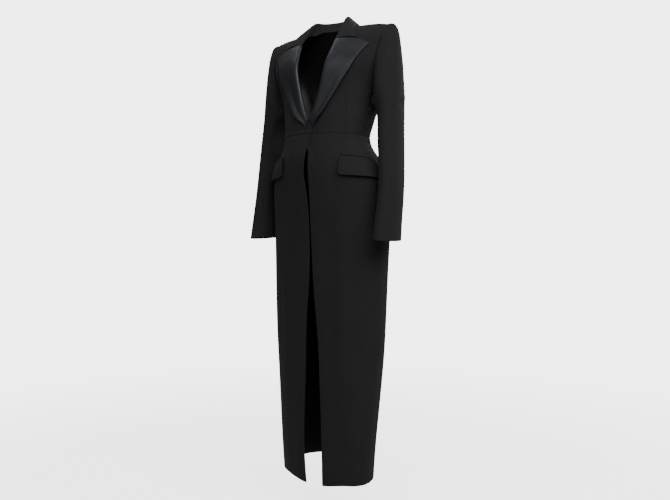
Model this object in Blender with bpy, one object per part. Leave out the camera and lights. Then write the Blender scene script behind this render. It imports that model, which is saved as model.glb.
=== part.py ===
"""Floor-length tuxedo coat, worn form, hollow.

The coat hangs as it does on a general figure: a fitted bodice with padded, squared shoulders,
a waist seam, flared hips and a long tapering skirt that is open down the front. Every cut
piece is a thin cloth wall. Heights run down from the shoulder tips: +Z is up, the wearer
faces -Y and the wearer's left is +X. Sizes are in metres.
"""
import math

import bpy
import numpy as np

for old in list(bpy.data.objects):
    bpy.data.objects.remove(old, do_unlink=True)

# ---- driving sizes -------------------------------------------------------------------------
CLOTH = 0.0016            # wall of the wool with its facing fused to it
SATIN = 0.0014            # wall of the lapels
SEAM_GAP = 0.0003         # between neighbouring pieces
LAY_GAP = 0.0009          # between a panel and what lies on it
SHOULDER_TIP = 0.236      # from the centre line to the end of the shoulder
SHOULDER_RISE = 0.022     # how much the shoulder climbs from its tip towards the neck
ARMHOLE_X = 0.205         # from the centre line to the armhole, on the shoulder seam
BREAK_HEIGHT = -0.252     # where the lapels start to turn back
WAIST_LEVEL = 9           # row of SECTIONS that the waist seam follows at the sides and the back
WAIST_RISE = 0.30         # rows by which it is higher at the centre front
UNDERARM_LEVEL = 6        # row of SECTIONS that the armhole's foot follows
HEM_FRONT = -1.301        # hem at the front edges
HEM_LIFT = 0.058          # how much higher the hem is at the centre back
SIDE_FRONT = 0.41         # share of the half ring from front to back: seam of the side panel
SIDE_BACK = 0.62
SKIRT_SIDE = 0.53
NAPE_RISE = 0.035         # how much the back climbs to the nape, and over what half width
NAPE_HALF = 0.085
UNDERLAP = 0.0034         # how far the left front goes in under the right one

# ---- the coat's rings, from the shoulder seam to the hem ---------------------------------------
# height; half width; how far the front and the back stand from the shoulder line; power of
# the front's and of the back's curve; offset of the ring's centre towards the wearer's left;
# half widths at which the front and the back armhole cut it
SECTION_COLUMNS = ("height", "half", "front", "back", "front_power", "back_power", "offset",
                   "arm_front", "arm_back")
SECTIONS = (
    (0.000, 0.236, 0.004, 0.004, 1.9, 2.0, 0.000, 0.205, 0.205),
    (-0.005, 0.236, -0.017, 0.024, 1.8, 2.0, 0.000, 0.203, 0.205),
    (-0.024, 0.236, -0.047, 0.048, 1.65, 2.0, 0.000, 0.197, 0.203),
    (-0.060, 0.235, -0.074, 0.074, 1.55, 2.0, 0.000, 0.188, 0.199),
    (-0.100, 0.212, -0.093, 0.092, 1.65, 2.0, 0.000, 0.178, 0.188),
    (-0.140, 0.183, -0.0955, 0.101, 1.8, 2.1, 0.000, 0.168, 0.173),
    (-0.185, 0.166, -0.095, 0.102, 2.0, 2.2, 0.000, 0.160, 0.150),
    (-0.235, 0.154, -0.097, 0.091, 2.2, 2.2, 0.001, 0.160, 0.150),
    (-0.272, 0.1445, -0.101, 0.079, 2.2, 2.2, 0.001, 0.160, 0.150),
    (-0.300, 0.1420, -0.106, 0.072, 2.1, 2.2, 0.000, 0.160, 0.150),
    (-0.330, 0.1510, -0.113, 0.075, 1.9, 2.2, 0.000, 0.160, 0.150),
    (-0.360, 0.1720, -0.118, 0.088, 1.8, 2.2, -0.002, 0.160, 0.150),
    (-0.420, 0.1955, -0.1145, 0.105, 1.9, 2.2, -0.002, 0.160, 0.150),
    (-0.526, 0.2000, -0.099, 0.112, 2.1, 2.2, -0.003, 0.160, 0.150),
    (-0.664, 0.1945, -0.0915, 0.112, 2.2, 2.2, -0.007, 0.160, 0.150),
    (-0.848, 0.1880, -0.0895, 0.106, 2.2, 2.2, -0.008, 0.160, 0.150),
    (-0.994, 0.1775, -0.0885, 0.098, 2.2, 2.2, -0.007, 0.160, 0.150),
    (-1.171, 0.1630, -0.0835, 0.085, 2.2, 2.2, -0.009, 0.160, 0.150),
    (-1.310, 0.1550, -0.0710, 0.078, 2.2, 2.2, -0.012, 0.160, 0.150),
)

# the turned-back edge of each front: height and distance from the centre line
ROLL_LINE = (
    (0.030, 0.064), (0.000, 0.0535), (-0.040, 0.0500), (-0.080, 0.0490), (-0.120, 0.0430),
    (-0.160, 0.0325), (-0.200, 0.0190), (-0.235, 0.0040), (-0.252, -0.0100), (-0.300, -0.0120),
)

# front edges of the skirt: height and distance of the wearer's left and right edge from the
# centre line, less than nothing where the edges lap
SKIRT_EDGE = (
    (-0.300, -0.0120, -0.0120), (-0.318, -0.0060, -0.0090), (-0.338, 0.0070, -0.0040),
    (-0.364, 0.0120, -0.0010), (-0.395, 0.0120, 0.0035), (-0.445, 0.0105, 0.0005),
    (-0.526, 0.0060, -0.0005), (-0.620, 0.0065, 0.0010), (-0.730, 0.0115, 0.0060),
    (-0.800, 0.0180, 0.0130), (-0.897, 0.0270, 0.0180), (-0.994, 0.0310, 0.0205),
    (-1.171, 0.0355, 0.0270), (-1.310, 0.0325, 0.0270),
)

# sleeve rings below the shoulder: centre, half widths and how far the outer side is lifted
SLEEVE_COLUMNS = ("height", "side", "fore", "half_side", "half_fore", "lift")
SLEEVE = (
    (-0.172, 0.2080, 0.008, 0.0355, 0.0540, 1.40),
    (-0.235, 0.2150, 0.003, 0.0325, 0.0510, 0.60),
    (-0.310, 0.2215, -0.005, 0.0310, 0.0485, 0.20),
    (-0.430, 0.2300, -0.015, 0.0290, 0.0480, 0.05),
    (-0.526, 0.2310, -0.026, 0.0290, 0.0480, 0.00),
    (-0.592, 0.2315, -0.034, 0.0305, 0.0485, 0.00),
)
SLEEVE_FRONT_SEAM = 0.36  # share of the way round, from the top over the front
SLEEVE_BACK_SEAM = 0.71

# the lapel: where its outer edge runs, as height and distance from the centre line
LAPEL_EDGE = (
    (-0.0455, 0.172), (-0.078, 0.1435), (-0.112, 0.1240), (-0.141, 0.1055), (-0.166, 0.0895),
    (-0.220, 0.0545), (-0.245, 0.0310), (-0.268, 0.0110),
)
LAPEL_BOW = 0.007                 # how much its top edge is bowed up
LAPEL_TOP = (0.0525, -0.024)      # where the top edge meets the roll line
GORGE_END = (0.134, -0.0225)      # where the collar's end meets the lapel's top edge

# the collar, from the gorge round the back of the neck: fold, outer edge and foot of the stand
COLLAR_FOLD = (
    (0.0530, -0.0500, -0.0140), (0.0570, -0.0150, 0.034), (0.0600, 0.0100, 0.056),
    (0.0520, 0.0380, 0.063), (0.0300, 0.0560, 0.066), (0.0000, 0.0620, 0.067),
)
GORGE_SHARE = 0.42        # share of the collar's half length that lies before the shoulder seam
LEAF_BULGE = 0.0075

# the pocket on each side of the skirt: its front end's distance from the centre line, how far
# the pair sits towards the wearer's left, share of the half ring at its rear end, and heights
POCKET = {"front": 0.100, "shift": 0.0065, "rear": 0.460, "top_front": -0.351,
          "top_rear": -0.362, "jet": 0.0055, "flap": 0.055, "corner": 0.009, "round": 0.06}

CUFF_BUTTONS = 4
CUFF_BUTTON_RADIUS = 0.0065
CUFF_BUTTON_STEP = 0.0155
BUTTON_THICK = 0.0035


# ---- reading the tables ------------------------------------------------------------------------
def read_smooth(places, values, at):
    """The value at a place, on a smooth curve through a table's rows."""
    places = np.asarray(places, float)
    values = np.asarray(values, float)
    steps = np.diff(places)
    slopes = np.diff(values, axis=0) / steps.reshape((-1,) + (1,) * (values.ndim - 1))
    k = int(np.clip(np.searchsorted(places, at) - 1, 0, len(steps) - 1))
    before = slopes[max(k - 1, 0)]
    after = slopes[min(k + 1, len(slopes) - 1)]
    start = (before + slopes[k]) / 2
    end = (after + slopes[k]) / 2
    share = (at - places[k]) / steps[k]
    s2, s3 = share * share, share ** 3
    return ((2 * s3 - 3 * s2 + 1) * values[k] + (s3 - 2 * s2 + share) * steps[k] * start
            + (3 * s2 - 2 * s3) * values[k + 1] + (s3 - s2) * steps[k] * end)


def read_down(table, height, column=1):
    """A column of a table whose first column is a height that falls."""
    heights = [-row[0] for row in table]
    return float(read_smooth(heights, [row[column] for row in table], -height))


def section(level):
    """The ring at a level, by column name; level 0 is the shoulder seam."""
    values = read_smooth(range(len(SECTIONS)), SECTIONS, level)
    return dict(zip(SECTION_COLUMNS, values))


def level_of(height):
    """The level of SECTIONS that lies at a height."""
    low, high = 0.0, len(SECTIONS) - 1.0
    for _ in range(40):
        middle = (low + high) / 2
        if section(middle)["height"] > height:
            low = middle
        else:
            high = middle
    return (low + high) / 2


def smooth_step(value):
    value = min(max(value, 0.0), 1.0)
    return value * value * (3 - 2 * value)


def unit(vector):
    return vector / max(np.linalg.norm(vector), 1e-12)


# ---- the coat's surface ------------------------------------------------------------------------
def shoulder_height(x):
    """How far the shoulder line stands above its tip."""
    return SHOULDER_RISE * (1 - min(abs(x) / SHOULDER_TIP, 1.0) ** 5)


def nape(x, turn, level):
    """The back climbs towards the nape, which the collar sits on."""
    if turn < 0.5:
        return 0.0
    fade = smooth_step(level / 1.6) * (1 - smooth_step((level - 2.0) / 3.5))
    return NAPE_RISE * math.exp(-(x / NAPE_HALF) ** 2) * fade


def ring_point(side, turn, level):
    """A point of the ring at a level: turn 0 is the centre front and 1 the centre back."""
    ring = section(level)
    middle = (ring["front"] + ring["back"]) / 2
    depth = (ring["back"] - ring["front"]) / 2
    power = ring["front_power"] if turn < 0.5 else ring["back_power"]
    angle = turn * math.pi
    sine, cosine = math.sin(angle), math.cos(angle)
    along = math.copysign(abs(sine) ** (2 / power), sine)
    away = math.copysign(abs(cosine) ** (2 / power), cosine)
    x = side * ring["half"] * along
    climb = (1 - smooth_step(level / UNDERARM_LEVEL)) * shoulder_height(x)
    return np.array((x + ring["offset"], middle - depth * away,
                     ring["height"] + climb + nape(x, turn, level)))


def turn_of(side, x, level):
    """Share of the front half ring at which it is x from the centre line, on one side."""
    ring = section(level)
    share = min(max(side * (x - ring["offset"]) / ring["half"], -1.0), 1.0)
    return math.copysign(math.asin(abs(share) ** (ring["front_power"] / 2)), share) / math.pi


def back_turn(reach, level):
    """Share of the half ring at which the back is this far from its middle."""
    ring = section(level)
    share = min(reach / ring["half"], 1.0)
    return 1 - math.asin(share ** (ring["back_power"] / 2)) / math.pi


def normal_at(side, turn, level):
    """The way out of the cloth. On the shoulder seam it points up, so both sides agree."""
    step = 0.004
    around = ring_point(side, turn + step, level) - ring_point(side, turn - step, level)
    if level < 0.02:
        down = np.array((0.0, -1.0 if turn < 0.5 else 1.0, 0.0))
    else:
        reach = min(0.02, level)
        down = ring_point(side, turn, level + reach) - ring_point(side, turn, level - reach)
    normal = unit(np.cross(around, down))
    return normal if side < 0 else -normal


def skin(side, turn, level, out=0.0):
    return ring_point(side, turn, level) + out * normal_at(side, turn, level)


def front_level(x, height):
    """Level at which the front surface, x from the centre line, has this height."""
    low, high = 0.0, len(SECTIONS) - 1.0
    for _ in range(40):
        middle = (low + high) / 2
        climb = 1 - smooth_step(middle / UNDERARM_LEVEL)
        if section(middle)["height"] + climb * shoulder_height(x) > height:
            low = middle
        else:
            high = middle
    return (low + high) / 2


def front_skin(side, x, height, out=0.0):
    """A point on the front surface, x towards the side's own hand, at a height."""
    level = front_level(x, height)
    return skin(side, turn_of(side, side * x, level), level, out)


def waist_level(turn):
    return WAIST_LEVEL - WAIST_RISE * max(0.0, math.cos(turn * math.pi)) ** 2


def hem_level(turn):
    return level_of(HEM_FRONT + HEM_LIFT * ((1 - math.cos(turn * math.pi)) / 2) ** 1.3)


# ---- making solids -----------------------------------------------------------------------------
def material(name, colour, rough):
    made = bpy.data.materials.get(name)
    if made is None:
        made = bpy.data.materials.new(name)
        made.use_nodes = True
        shader = made.node_tree.nodes["Principled BSDF"]
        shader.inputs["Base Color"].default_value = (*colour, 1.0)
        shader.inputs["Roughness"].default_value = rough
        shader.inputs["Metallic"].default_value = 0.0
    return made


WOOL = ("black_wool", (0.013, 0.013, 0.014), 0.85)
SATIN_CLOTH = ("black_satin", (0.020, 0.021, 0.024), 0.35)
HORN = ("black_button", (0.010, 0.010, 0.011), 0.30)


def add_object(name, points, faces, finish):
    mesh = bpy.data.meshes.new(name)
    mesh.from_pydata([tuple(map(float, point)) for point in points], [], faces)
    mesh.validate()
    mesh.update()
    made = bpy.data.objects.new(name, mesh)
    bpy.context.scene.collection.objects.link(made)
    mesh.materials.append(material(*finish))
    volume = sum(mesh.vertices[a].co.dot(mesh.vertices[b].co.cross(mesh.vertices[c].co))
                 for a, b, c in (tuple(t.vertices) for t in triangles(mesh)))
    if volume < 0:
        mesh.flip_normals()
    return made


def triangles(mesh):
    mesh.calc_loop_triangles()
    return mesh.loop_triangles


def trim(grid, gap):
    """Pulls the outer rows and columns of a grid of points back by a gap."""
    grid = grid.copy()
    for edge, inner in ((0, 1), (-1, -2)):
        for k in range(grid.shape[1]):
            grid[edge, k] += gap * unit(grid[inner, k] - grid[edge, k])
        for k in range(grid.shape[0]):
            grid[k, edge] += gap * unit(grid[k, inner] - grid[k, edge])
    return grid


def wall(name, face, back, finish):
    """A closed cloth wall between two grids of points of the same size."""
    rows, columns = face.shape[:2]
    points = list(face.reshape(-1, 3)) + list(back.reshape(-1, 3))
    half = rows * columns

    def spot(r, c, layer):
        return layer * half + r * columns + c

    faces = []
    for r in range(rows - 1):
        for c in range(columns - 1):
            quad = [spot(r, c, 0), spot(r, c + 1, 0), spot(r + 1, c + 1, 0), spot(r + 1, c, 0)]
            faces.append(quad)
            faces.append([k + half for k in reversed(quad)])
    rim = [(0, c) for c in range(columns)]
    rim += [(r, columns - 1) for r in range(1, rows)]
    rim += [(rows - 1, c) for c in range(columns - 2, -1, -1)]
    rim += [(r, 0) for r in range(rows - 2, 0, -1)]
    for a, b in zip(rim, rim[1:] + rim[:1]):
        faces.append([spot(*b, 0), spot(*a, 0), spot(*a, 1), spot(*b, 1)])
    return add_object(name, points, faces, finish)


def skin_wall(name, side, places, finish, thick=CLOTH, out=0.0, gap=SEAM_GAP / 2):
    """A wall whose face lies on the coat's surface; places[r][c] is turn, level, extra out."""
    face = np.array([[skin(side, t, v, out + e) for t, v, e in row] for row in places])
    back = np.array([[skin(side, t, v, out + e - thick) for t, v, e in row] for row in places])
    return wall(name, trim(face, gap), trim(back, gap), finish)


def spread(low, high, count):
    return [low + (high - low) * k / (count - 1) for k in range(count)]


def button(name, centre, axis, radius, finish):
    """A flat round button with a rounded rim, lying across its axis."""
    axis = unit(np.asarray(axis, float))
    first = unit(np.cross(axis, (0.0, 0.0, 1.0) if abs(axis[2]) < 0.9 else (1.0, 0.0, 0.0)))
    second = np.cross(axis, first)
    profile = ((0.86, 0.0), (1.0, 0.3), (1.0, 0.7), (0.86, 1.0))
    sides = 16
    points = []
    for share, height in profile:
        for k in range(sides):
            angle = 2 * math.pi * k / sides
            points.append(centre + radius * share * (math.cos(angle) * first + math.sin(angle) * second)
                          + height * BUTTON_THICK * axis)
    faces = [list(range(sides))[::-1], list(range(len(points) - sides, len(points)))]
    for r in range(len(profile) - 1):
        for k in range(sides):
            n = (k + 1) % sides
            faces.append([r * sides + k, r * sides + n, (r + 1) * sides + n, (r + 1) * sides + k])
    return add_object(name, points, faces, finish)


# ---- bodice ------------------------------------------------------------------------------------
BODICE_LEVELS = (0, 0.5, 1, 1.6, 2.3, 3, 3.8, 4.6, 5.3, 6, 6.7, 7.3, 7.8, 8.3, WAIST_LEVEL)
BACK_LEVEL = 3.8          # from here down the back panel's rows are level rings


def under(side, x, height):
    """How far the wearer's left front goes in where the right front laps over it."""
    if side < 0:
        return 0.0
    across = smooth_step((0.050 - x) / 0.035)
    down = smooth_step((height + 0.375) / 0.030) * smooth_step((-0.215 - height) / 0.030)
    return -UNDERLAP * across * down


def bodice_front(side, label):
    rows = []
    for below in BODICE_LEVELS:
        level = below - (WAIST_RISE if below == WAIST_LEVEL else 0)
        ring = section(level)
        roll = read_down(ROLL_LINE, ring["height"] + 0.030 * (1 - smooth_step(level / 2.0)))
        start = turn_of(side, side * roll, level)
        end = turn_of(side, side * ring["arm_front"], level) if level < UNDERARM_LEVEL else SIDE_FRONT
        row = []
        for turn in spread(start, end, 9):
            at = waist_level(turn) if below == WAIST_LEVEL else level
            x = side * ring_point(side, turn, at)[0]
            row.append((turn, at, under(side, x, ring["height"])))
        rows.append(row)
    skin_wall("bodice_front_" + label, side, rows, WOOL)


def bodice_side(side, label):
    rows = [[(turn, min(level, waist_level(turn)), 0.0) for turn in spread(SIDE_FRONT, SIDE_BACK, 5)]
            for level in BODICE_LEVELS if level >= UNDERARM_LEVEL]
    skin_wall("bodice_side_" + label, side, rows, WOOL)


NECK_HALF = 0.066         # half width of the neck opening on the shoulder seam
NECK_LEVEL = 1.80         # level of the neck seam at the centre back
LEAF_LEVEL = 2.55         # level that the collar's leaf falls to there


def neck_level(x):
    """Level at which the back panel ends under the collar."""
    return NECK_LEVEL * math.sqrt(max(0.0, 1 - (abs(x) / NECK_HALF) ** 2.2))


def bodice_back(side, label):
    shares = [0, 0.16, 0.32, 0.48, 0.62, 0.70, 0.78, 0.88, 1]
    rows = []
    for below in BODICE_LEVELS:
        row = []
        for share in shares:
            top = neck_level(ARMHOLE_X * (1 - share))
            level = top + (BACK_LEVEL - top) * below / BACK_LEVEL if below < BACK_LEVEL else below
            ring = section(level)
            if level < UNDERARM_LEVEL:
                outer = back_turn(ring["arm_back"], level)
            else:
                outer = SIDE_BACK
            reach = math.sin(outer * math.pi) ** (2 / ring["back_power"]) * ring["half"]
            row.append((back_turn(reach * (1 - share), level), level, 0.0))
        rows.append(row)
    skin_wall("bodice_back_" + label, side, rows, WOOL)


# ---- skirt -------------------------------------------------------------------------------------
def skirt_rows(side, edges, count):
    """Rows from the waist to the hem between two edges, each a function of the level."""
    downs = [0, 0.5, 1, 1.5, 2, 2.6, 3.3, 4, 4.6, 5.2, 6, 6.8, 7.6, 8.3]
    rows = []
    for down in downs + [None]:
        row = []
        for share in spread(0, 1, count):
            level = WAIST_LEVEL + down if down else WAIST_LEVEL - WAIST_RISE
            start, end = edges(level if down is not None else len(SECTIONS) - 1.1)
            turn = start + (end - start) * share
            if down is None:
                level = hem_level(turn)
            elif down == 0:
                level = waist_level(turn)
            x = side * ring_point(side, turn, level)[0]
            row.append((turn, level, under(side, x, section(level)["height"])))
        rows.append(row)
    return rows


def skirt_front(side, label):
    def edges(level):
        height = section(level)["height"]
        edge = read_down(SKIRT_EDGE, height, 1 if side > 0 else 2)
        return turn_of(side, side * edge, level), SKIRT_SIDE

    skin_wall("skirt_front_" + label, side, skirt_rows(side, edges, 11), WOOL)


def skirt_back(side, label):
    skin_wall("skirt_back_" + label, side, skirt_rows(side, lambda level: (SKIRT_SIDE, 1.0), 10), WOOL)


# ---- sleeves -----------------------------------------------------------------------------------
def armhole(side, round_):
    """A point of the armhole: 0 is the shoulder seam, then the front, the foot and the back."""
    foot_front, foot_back = 0.39, 0.61
    if round_ <= foot_front:
        level = UNDERARM_LEVEL * (round_ / foot_front)
        return ring_point(side, turn_of(side, side * section(level)["arm_front"], level), level)
    if round_ < foot_back:
        share = (round_ - foot_front) / (foot_back - foot_front)
        return ring_point(side, SIDE_FRONT + (SIDE_BACK - SIDE_FRONT) * share, UNDERARM_LEVEL)
    level = UNDERARM_LEVEL * (1 - round_) / (1 - foot_back)
    ring = section(level)
    if level > UNDERARM_LEVEL - 0.001:
        return ring_point(side, SIDE_BACK, UNDERARM_LEVEL)
    return ring_point(side, back_turn(ring["arm_back"], level), level)


def tube_point(side, round_, step):
    """A point of the sleeve's tube; step counts the rows of SLEEVE."""
    ring = dict(zip(SLEEVE_COLUMNS, read_smooth(range(len(SLEEVE)), SLEEVE, step)))
    angle = 2 * math.pi * round_
    across = ring["half_side"] * math.cos(angle)
    x = ring["side"] + across
    y = ring["fore"] - ring["half_fore"] * math.sin(angle)
    return np.array((side * x, y, ring["height"] + ring["lift"] * across))


def sleeve_point(side, round_, run):
    """run 0 to 1 is the sleeve head, and from 1 on it is the tube's row run - 1."""
    if run >= 1:
        return tube_point(side, round_, run - 1)
    start = armhole(side, round_)
    end = tube_point(side, round_, 0)
    top = max(0.0, math.cos(2 * math.pi * round_)) ** 1.5
    corner = np.array((end[0] * top + (start[0] + end[0]) / 2 * (1 - top),
                       (start[1] + end[1]) / 2 * (1 - 0.4 * (1 - top)) + 0.4 * (1 - top) * end[1],
                       start[2] * top + (start[2] + end[2]) / 2 * (1 - top)))
    pull = 1 + 1.9 * top
    weights = ((1 - run) ** 2, 2 * pull * run * (1 - run), run ** 2)
    return sum(w * p for w, p in zip(weights, (start, corner, end))) / sum(weights)


SLEEVE_START = 0.005      # where the sleeve's first row lies, and how much lower at the foot
SLEEVE_FOOT = 0.015


def sleeve_skin(side, round_, run, out):
    step = 0.01
    around = sleeve_point(side, round_ + step, run) - sleeve_point(side, round_ - step, run)
    down = sleeve_point(side, round_, run + step) - sleeve_point(side, round_, max(run - step, 0.0))
    normal = unit(np.cross(around, down))
    middle = tube_point(side, 0.25, max(run - 1, 0)) + tube_point(side, 0.75, max(run - 1, 0))
    place = sleeve_point(side, round_, run)
    if np.dot(normal, place - middle / 2) < 0:
        normal = -normal
    return place + out * normal


def armhole_run(round_):
    return SLEEVE_START + SLEEVE_FOOT * max(0.0, -math.cos(2 * math.pi * round_))


def sleeve(side, label):
    runs = [SLEEVE_START, 0.12, 0.25, 0.4, 0.6, 0.8, 1, 1.5, 2, 2.5, 3, 3.5, 4, 4.5, 5, 5.5, 6]
    pieces = {"sleeve_upper_": spread(SLEEVE_BACK_SEAM - 1, SLEEVE_FRONT_SEAM, 13),
              "sleeve_under_": spread(SLEEVE_FRONT_SEAM, SLEEVE_BACK_SEAM, 8)}
    for name, rounds in pieces.items():
        grids = []
        for out in (0.0, -CLOTH):
            grid = [[sleeve_skin(side, r % 1, run, out) for r in rounds] for run in runs]
            grid[0] = [sleeve_skin(side, r % 1, armhole_run(r), out) for r in rounds]
            grids.append(trim(np.array(grid), SEAM_GAP / 2))
        wall(name + label, *grids, WOOL)


# ---- lapels and collar -------------------------------------------------------------------------
LAPEL_OUT = LAY_GAP + SATIN
LAPEL_STOP = {1: 0.0125, -1: -0.0105}   # the right lapel's foot crosses the centre line
LAPEL_TAIL = 0.004


def lapel_line(share):
    """Heights and distances of the roll line and of the outer edge, share 0 at the peak."""
    outer = read_smooth(spread(0, 1, len(LAPEL_EDGE)), LAPEL_EDGE, share)
    height = LAPEL_TOP[1] + (BREAK_HEIGHT - LAPEL_TOP[1]) * share
    return np.array((height, read_down(ROLL_LINE, height))), np.array(outer)


def lapel(side, label):
    shares = [0, 0.07, 0.15, 0.25, 0.36, 0.48, 0.6, 0.72, 0.84, 0.93, 1]
    grids = []
    for out in (LAPEL_OUT, LAY_GAP):
        grid = []
        for share in shares:
            inner, outer = lapel_line(share)
            inner[1] = max(inner[1], LAPEL_STOP[side])
            outer[1] = max(outer[1], inner[1] + LAPEL_TAIL)
            row = []
            for across in spread(0, 1, 7):
                height, x = inner + (outer - inner) * across
                height += LAPEL_BOW * math.sin(math.pi * across) * (1 - share) ** 4
                row.append(front_skin(side, x, height, out))
            grid.append(row)
        grids.append(np.array(grid))
    wall("lapel_" + label, *grids, SATIN_CLOTH)


def collar_line(share):
    """A point of the fold, share -1 to 1 from the right gorge over the back to the left one."""
    side = 1 if share >= 0 else -1
    place = read_smooth(spread(0, 1, len(COLLAR_FOLD)), COLLAR_FOLD, 1 - abs(share))
    return side, np.array((side * place[0], place[1], place[2]))


def leaf_edge(side, share):
    """Outer edge of the collar's leaf: on the shoulder, the back and the chest."""
    edge = 1 - abs(share)
    if edge <= GORGE_SHARE:
        part = edge / GORGE_SHARE
        x = GORGE_END[0] + (0.104 - GORGE_END[0]) * part
        height = GORGE_END[1] + (shoulder_height(x) - 0.0005 - GORGE_END[1]) * part
        return front_skin(side, x, height, LAY_GAP * 2)
    part = (edge - GORGE_SHARE) / (1 - GORGE_SHARE) * math.pi / 2
    level = 0.02 + (LEAF_LEVEL - 0.02) * math.sin(part)
    return skin(side, back_turn(0.104 * math.cos(part), level), level, LAY_GAP * 2)


def collar_leaf():
    grids = []
    for out in (CLOTH, 0.0):
        grid = []
        for share in spread(-1, 1, 25):
            side, fold = collar_line(share)
            edge = leaf_edge(side, share)
            away = unit(np.array((edge[0] - fold[0], edge[1] - fold[1], 0.0)))
            chest = max(0.0, 1 - (1 - abs(share)) / GORGE_SHARE)
            corner = (fold + edge) / 2 + LEAF_BULGE * np.array((0, -chest, 1.0)) + 0.004 * away
            row = []
            for across in spread(0, 1, 5):
                weights = ((1 - across) ** 2, 2 * across * (1 - across), across ** 2)
                row.append(sum(w * p for w, p in zip(weights, (fold, corner, edge))))
            grid.append(row)
        grids.append(np.array(grid))
    face = grids[0]
    across = np.gradient(face, axis=1)
    along = np.gradient(face, axis=0)
    normals = np.cross(along, across)
    normals /= np.linalg.norm(normals, axis=2, keepdims=True)
    if normals[12, 2, 2] < 0:
        normals = -normals
    wall("collar_leaf", face + normals * CLOTH, face, WOOL)


def collar_stand():
    """The stand rises from the neck seam to just under the fold, inside the leaf."""
    face, back = [], []
    for share in spread(-0.86, 0.86, 21):
        side, fold = collar_line(share)
        inward = unit(np.array((-fold[0], 0.010 - fold[1], 0.0)))
        top = fold + np.array((0, 0, -0.0012)) + inward * 0.0004
        edge = 1 - abs(share)
        if edge < GORGE_SHARE:
            foot = front_skin(side, abs(fold[0]) + 0.0035, fold[2] - 0.020 * edge / GORGE_SHARE, 0.0)
        else:
            level = neck_level(fold[0])
            foot = skin(side, back_turn(abs(fold[0]), level), level, 0.0)
        foot = foot + inward * 0.0030 + np.array((0, 0, 0.0010))
        rows = [foot + (top - foot) * part for part in spread(0, 1, 3)]
        face.append([point + inward * CLOTH for point in rows])
        back.append(rows)
    wall("collar_stand", np.array(face), np.array(back), WOOL)


# ---- pockets -----------------------------------------------------------------------------------
def pocket(side, label):
    """Two jets with a flap between them, lying on the skirt's front."""
    def place(share, below, out):
        top = POCKET["top_front"] + (POCKET["top_rear"] - POCKET["top_front"]) * share
        level = level_of(top - below)
        front = turn_of(side, side * POCKET["front"] + POCKET["shift"], level)
        return skin(side, front + (POCKET["rear"] - front) * share, level, out)

    def strip(name, top, bottom, low, thick, rows, corner=0.0):
        ends = [1 - math.cos(k * math.pi / 8) for k in range(5)] if corner else [0]
        ends = [POCKET["round"] * end for end in ends]
        shares = ends + spread(0.2, 0.8, 5) + [1 - end for end in reversed(ends)]
        grids = []
        for out in (low + thick, low):
            grid = []
            for share in shares:
                inset = max(0.0, 1 - min(share, 1 - share) / POCKET["round"])
                end = bottom - corner * (1 - math.sqrt(1 - inset ** 2))
                grid.append([place(share, below, out) for below in spread(top, end, rows)])
            grids.append(np.array(grid))
        wall(name + label, *grids, WOOL)

    jet = POCKET["jet"]
    strip("pocket_jet_upper_", 0.0, jet, LAY_GAP, 0.0012, 2)
    strip("pocket_jet_lower_", jet + SEAM_GAP, 2 * jet, LAY_GAP, 0.0012, 2)
    strip("pocket_flap_", jet + 0.0012, jet + POCKET["flap"], LAY_GAP + 0.0012 + LAY_GAP, CLOTH, 4,
          POCKET["corner"])


# ---- buttons -----------------------------------------------------------------------------------
def buttons():
    for side, label in ((1, "left"), (-1, "right")):
        for k in range(CUFF_BUTTONS):
            run = len(SLEEVE) - (0.022 + CUFF_BUTTON_STEP * k) / 0.066
            base = sleeve_skin(side, 0.685, run, LAY_GAP)
            axis = sleeve_skin(side, 0.685, run, 0.01) - sleeve_skin(side, 0.685, run, 0.0)
            button(f"cuff_button_{label}_{k + 1}", base, axis, CUFF_BUTTON_RADIUS, HORN)


# ---- the coat ----------------------------------------------------------------------------------
for hand, tag in ((1, "left"), (-1, "right")):
    bodice_front(hand, tag)
    bodice_side(hand, tag)
    bodice_back(hand, tag)
    skirt_front(hand, tag)
    skirt_back(hand, tag)
    sleeve(hand, tag)
    lapel(hand, tag)
    pocket(hand, tag)
collar_leaf()
collar_stand()
buttons()
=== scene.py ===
"""Floor-length tuxedo coat in black wool with satin lapels, standing hollow as it is worn.

Every cut piece is a closed cloth shell with rounded edges. The sections follow the order in which
a tailor puts the coat together: bodice, skirt, pockets, sleeves, lapels, collar, buttons, and
then the floor, lamps and camera. Sizes are in metres; +Z is up and the coat's front faces -Y.
"""
import math
from functools import partial

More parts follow.
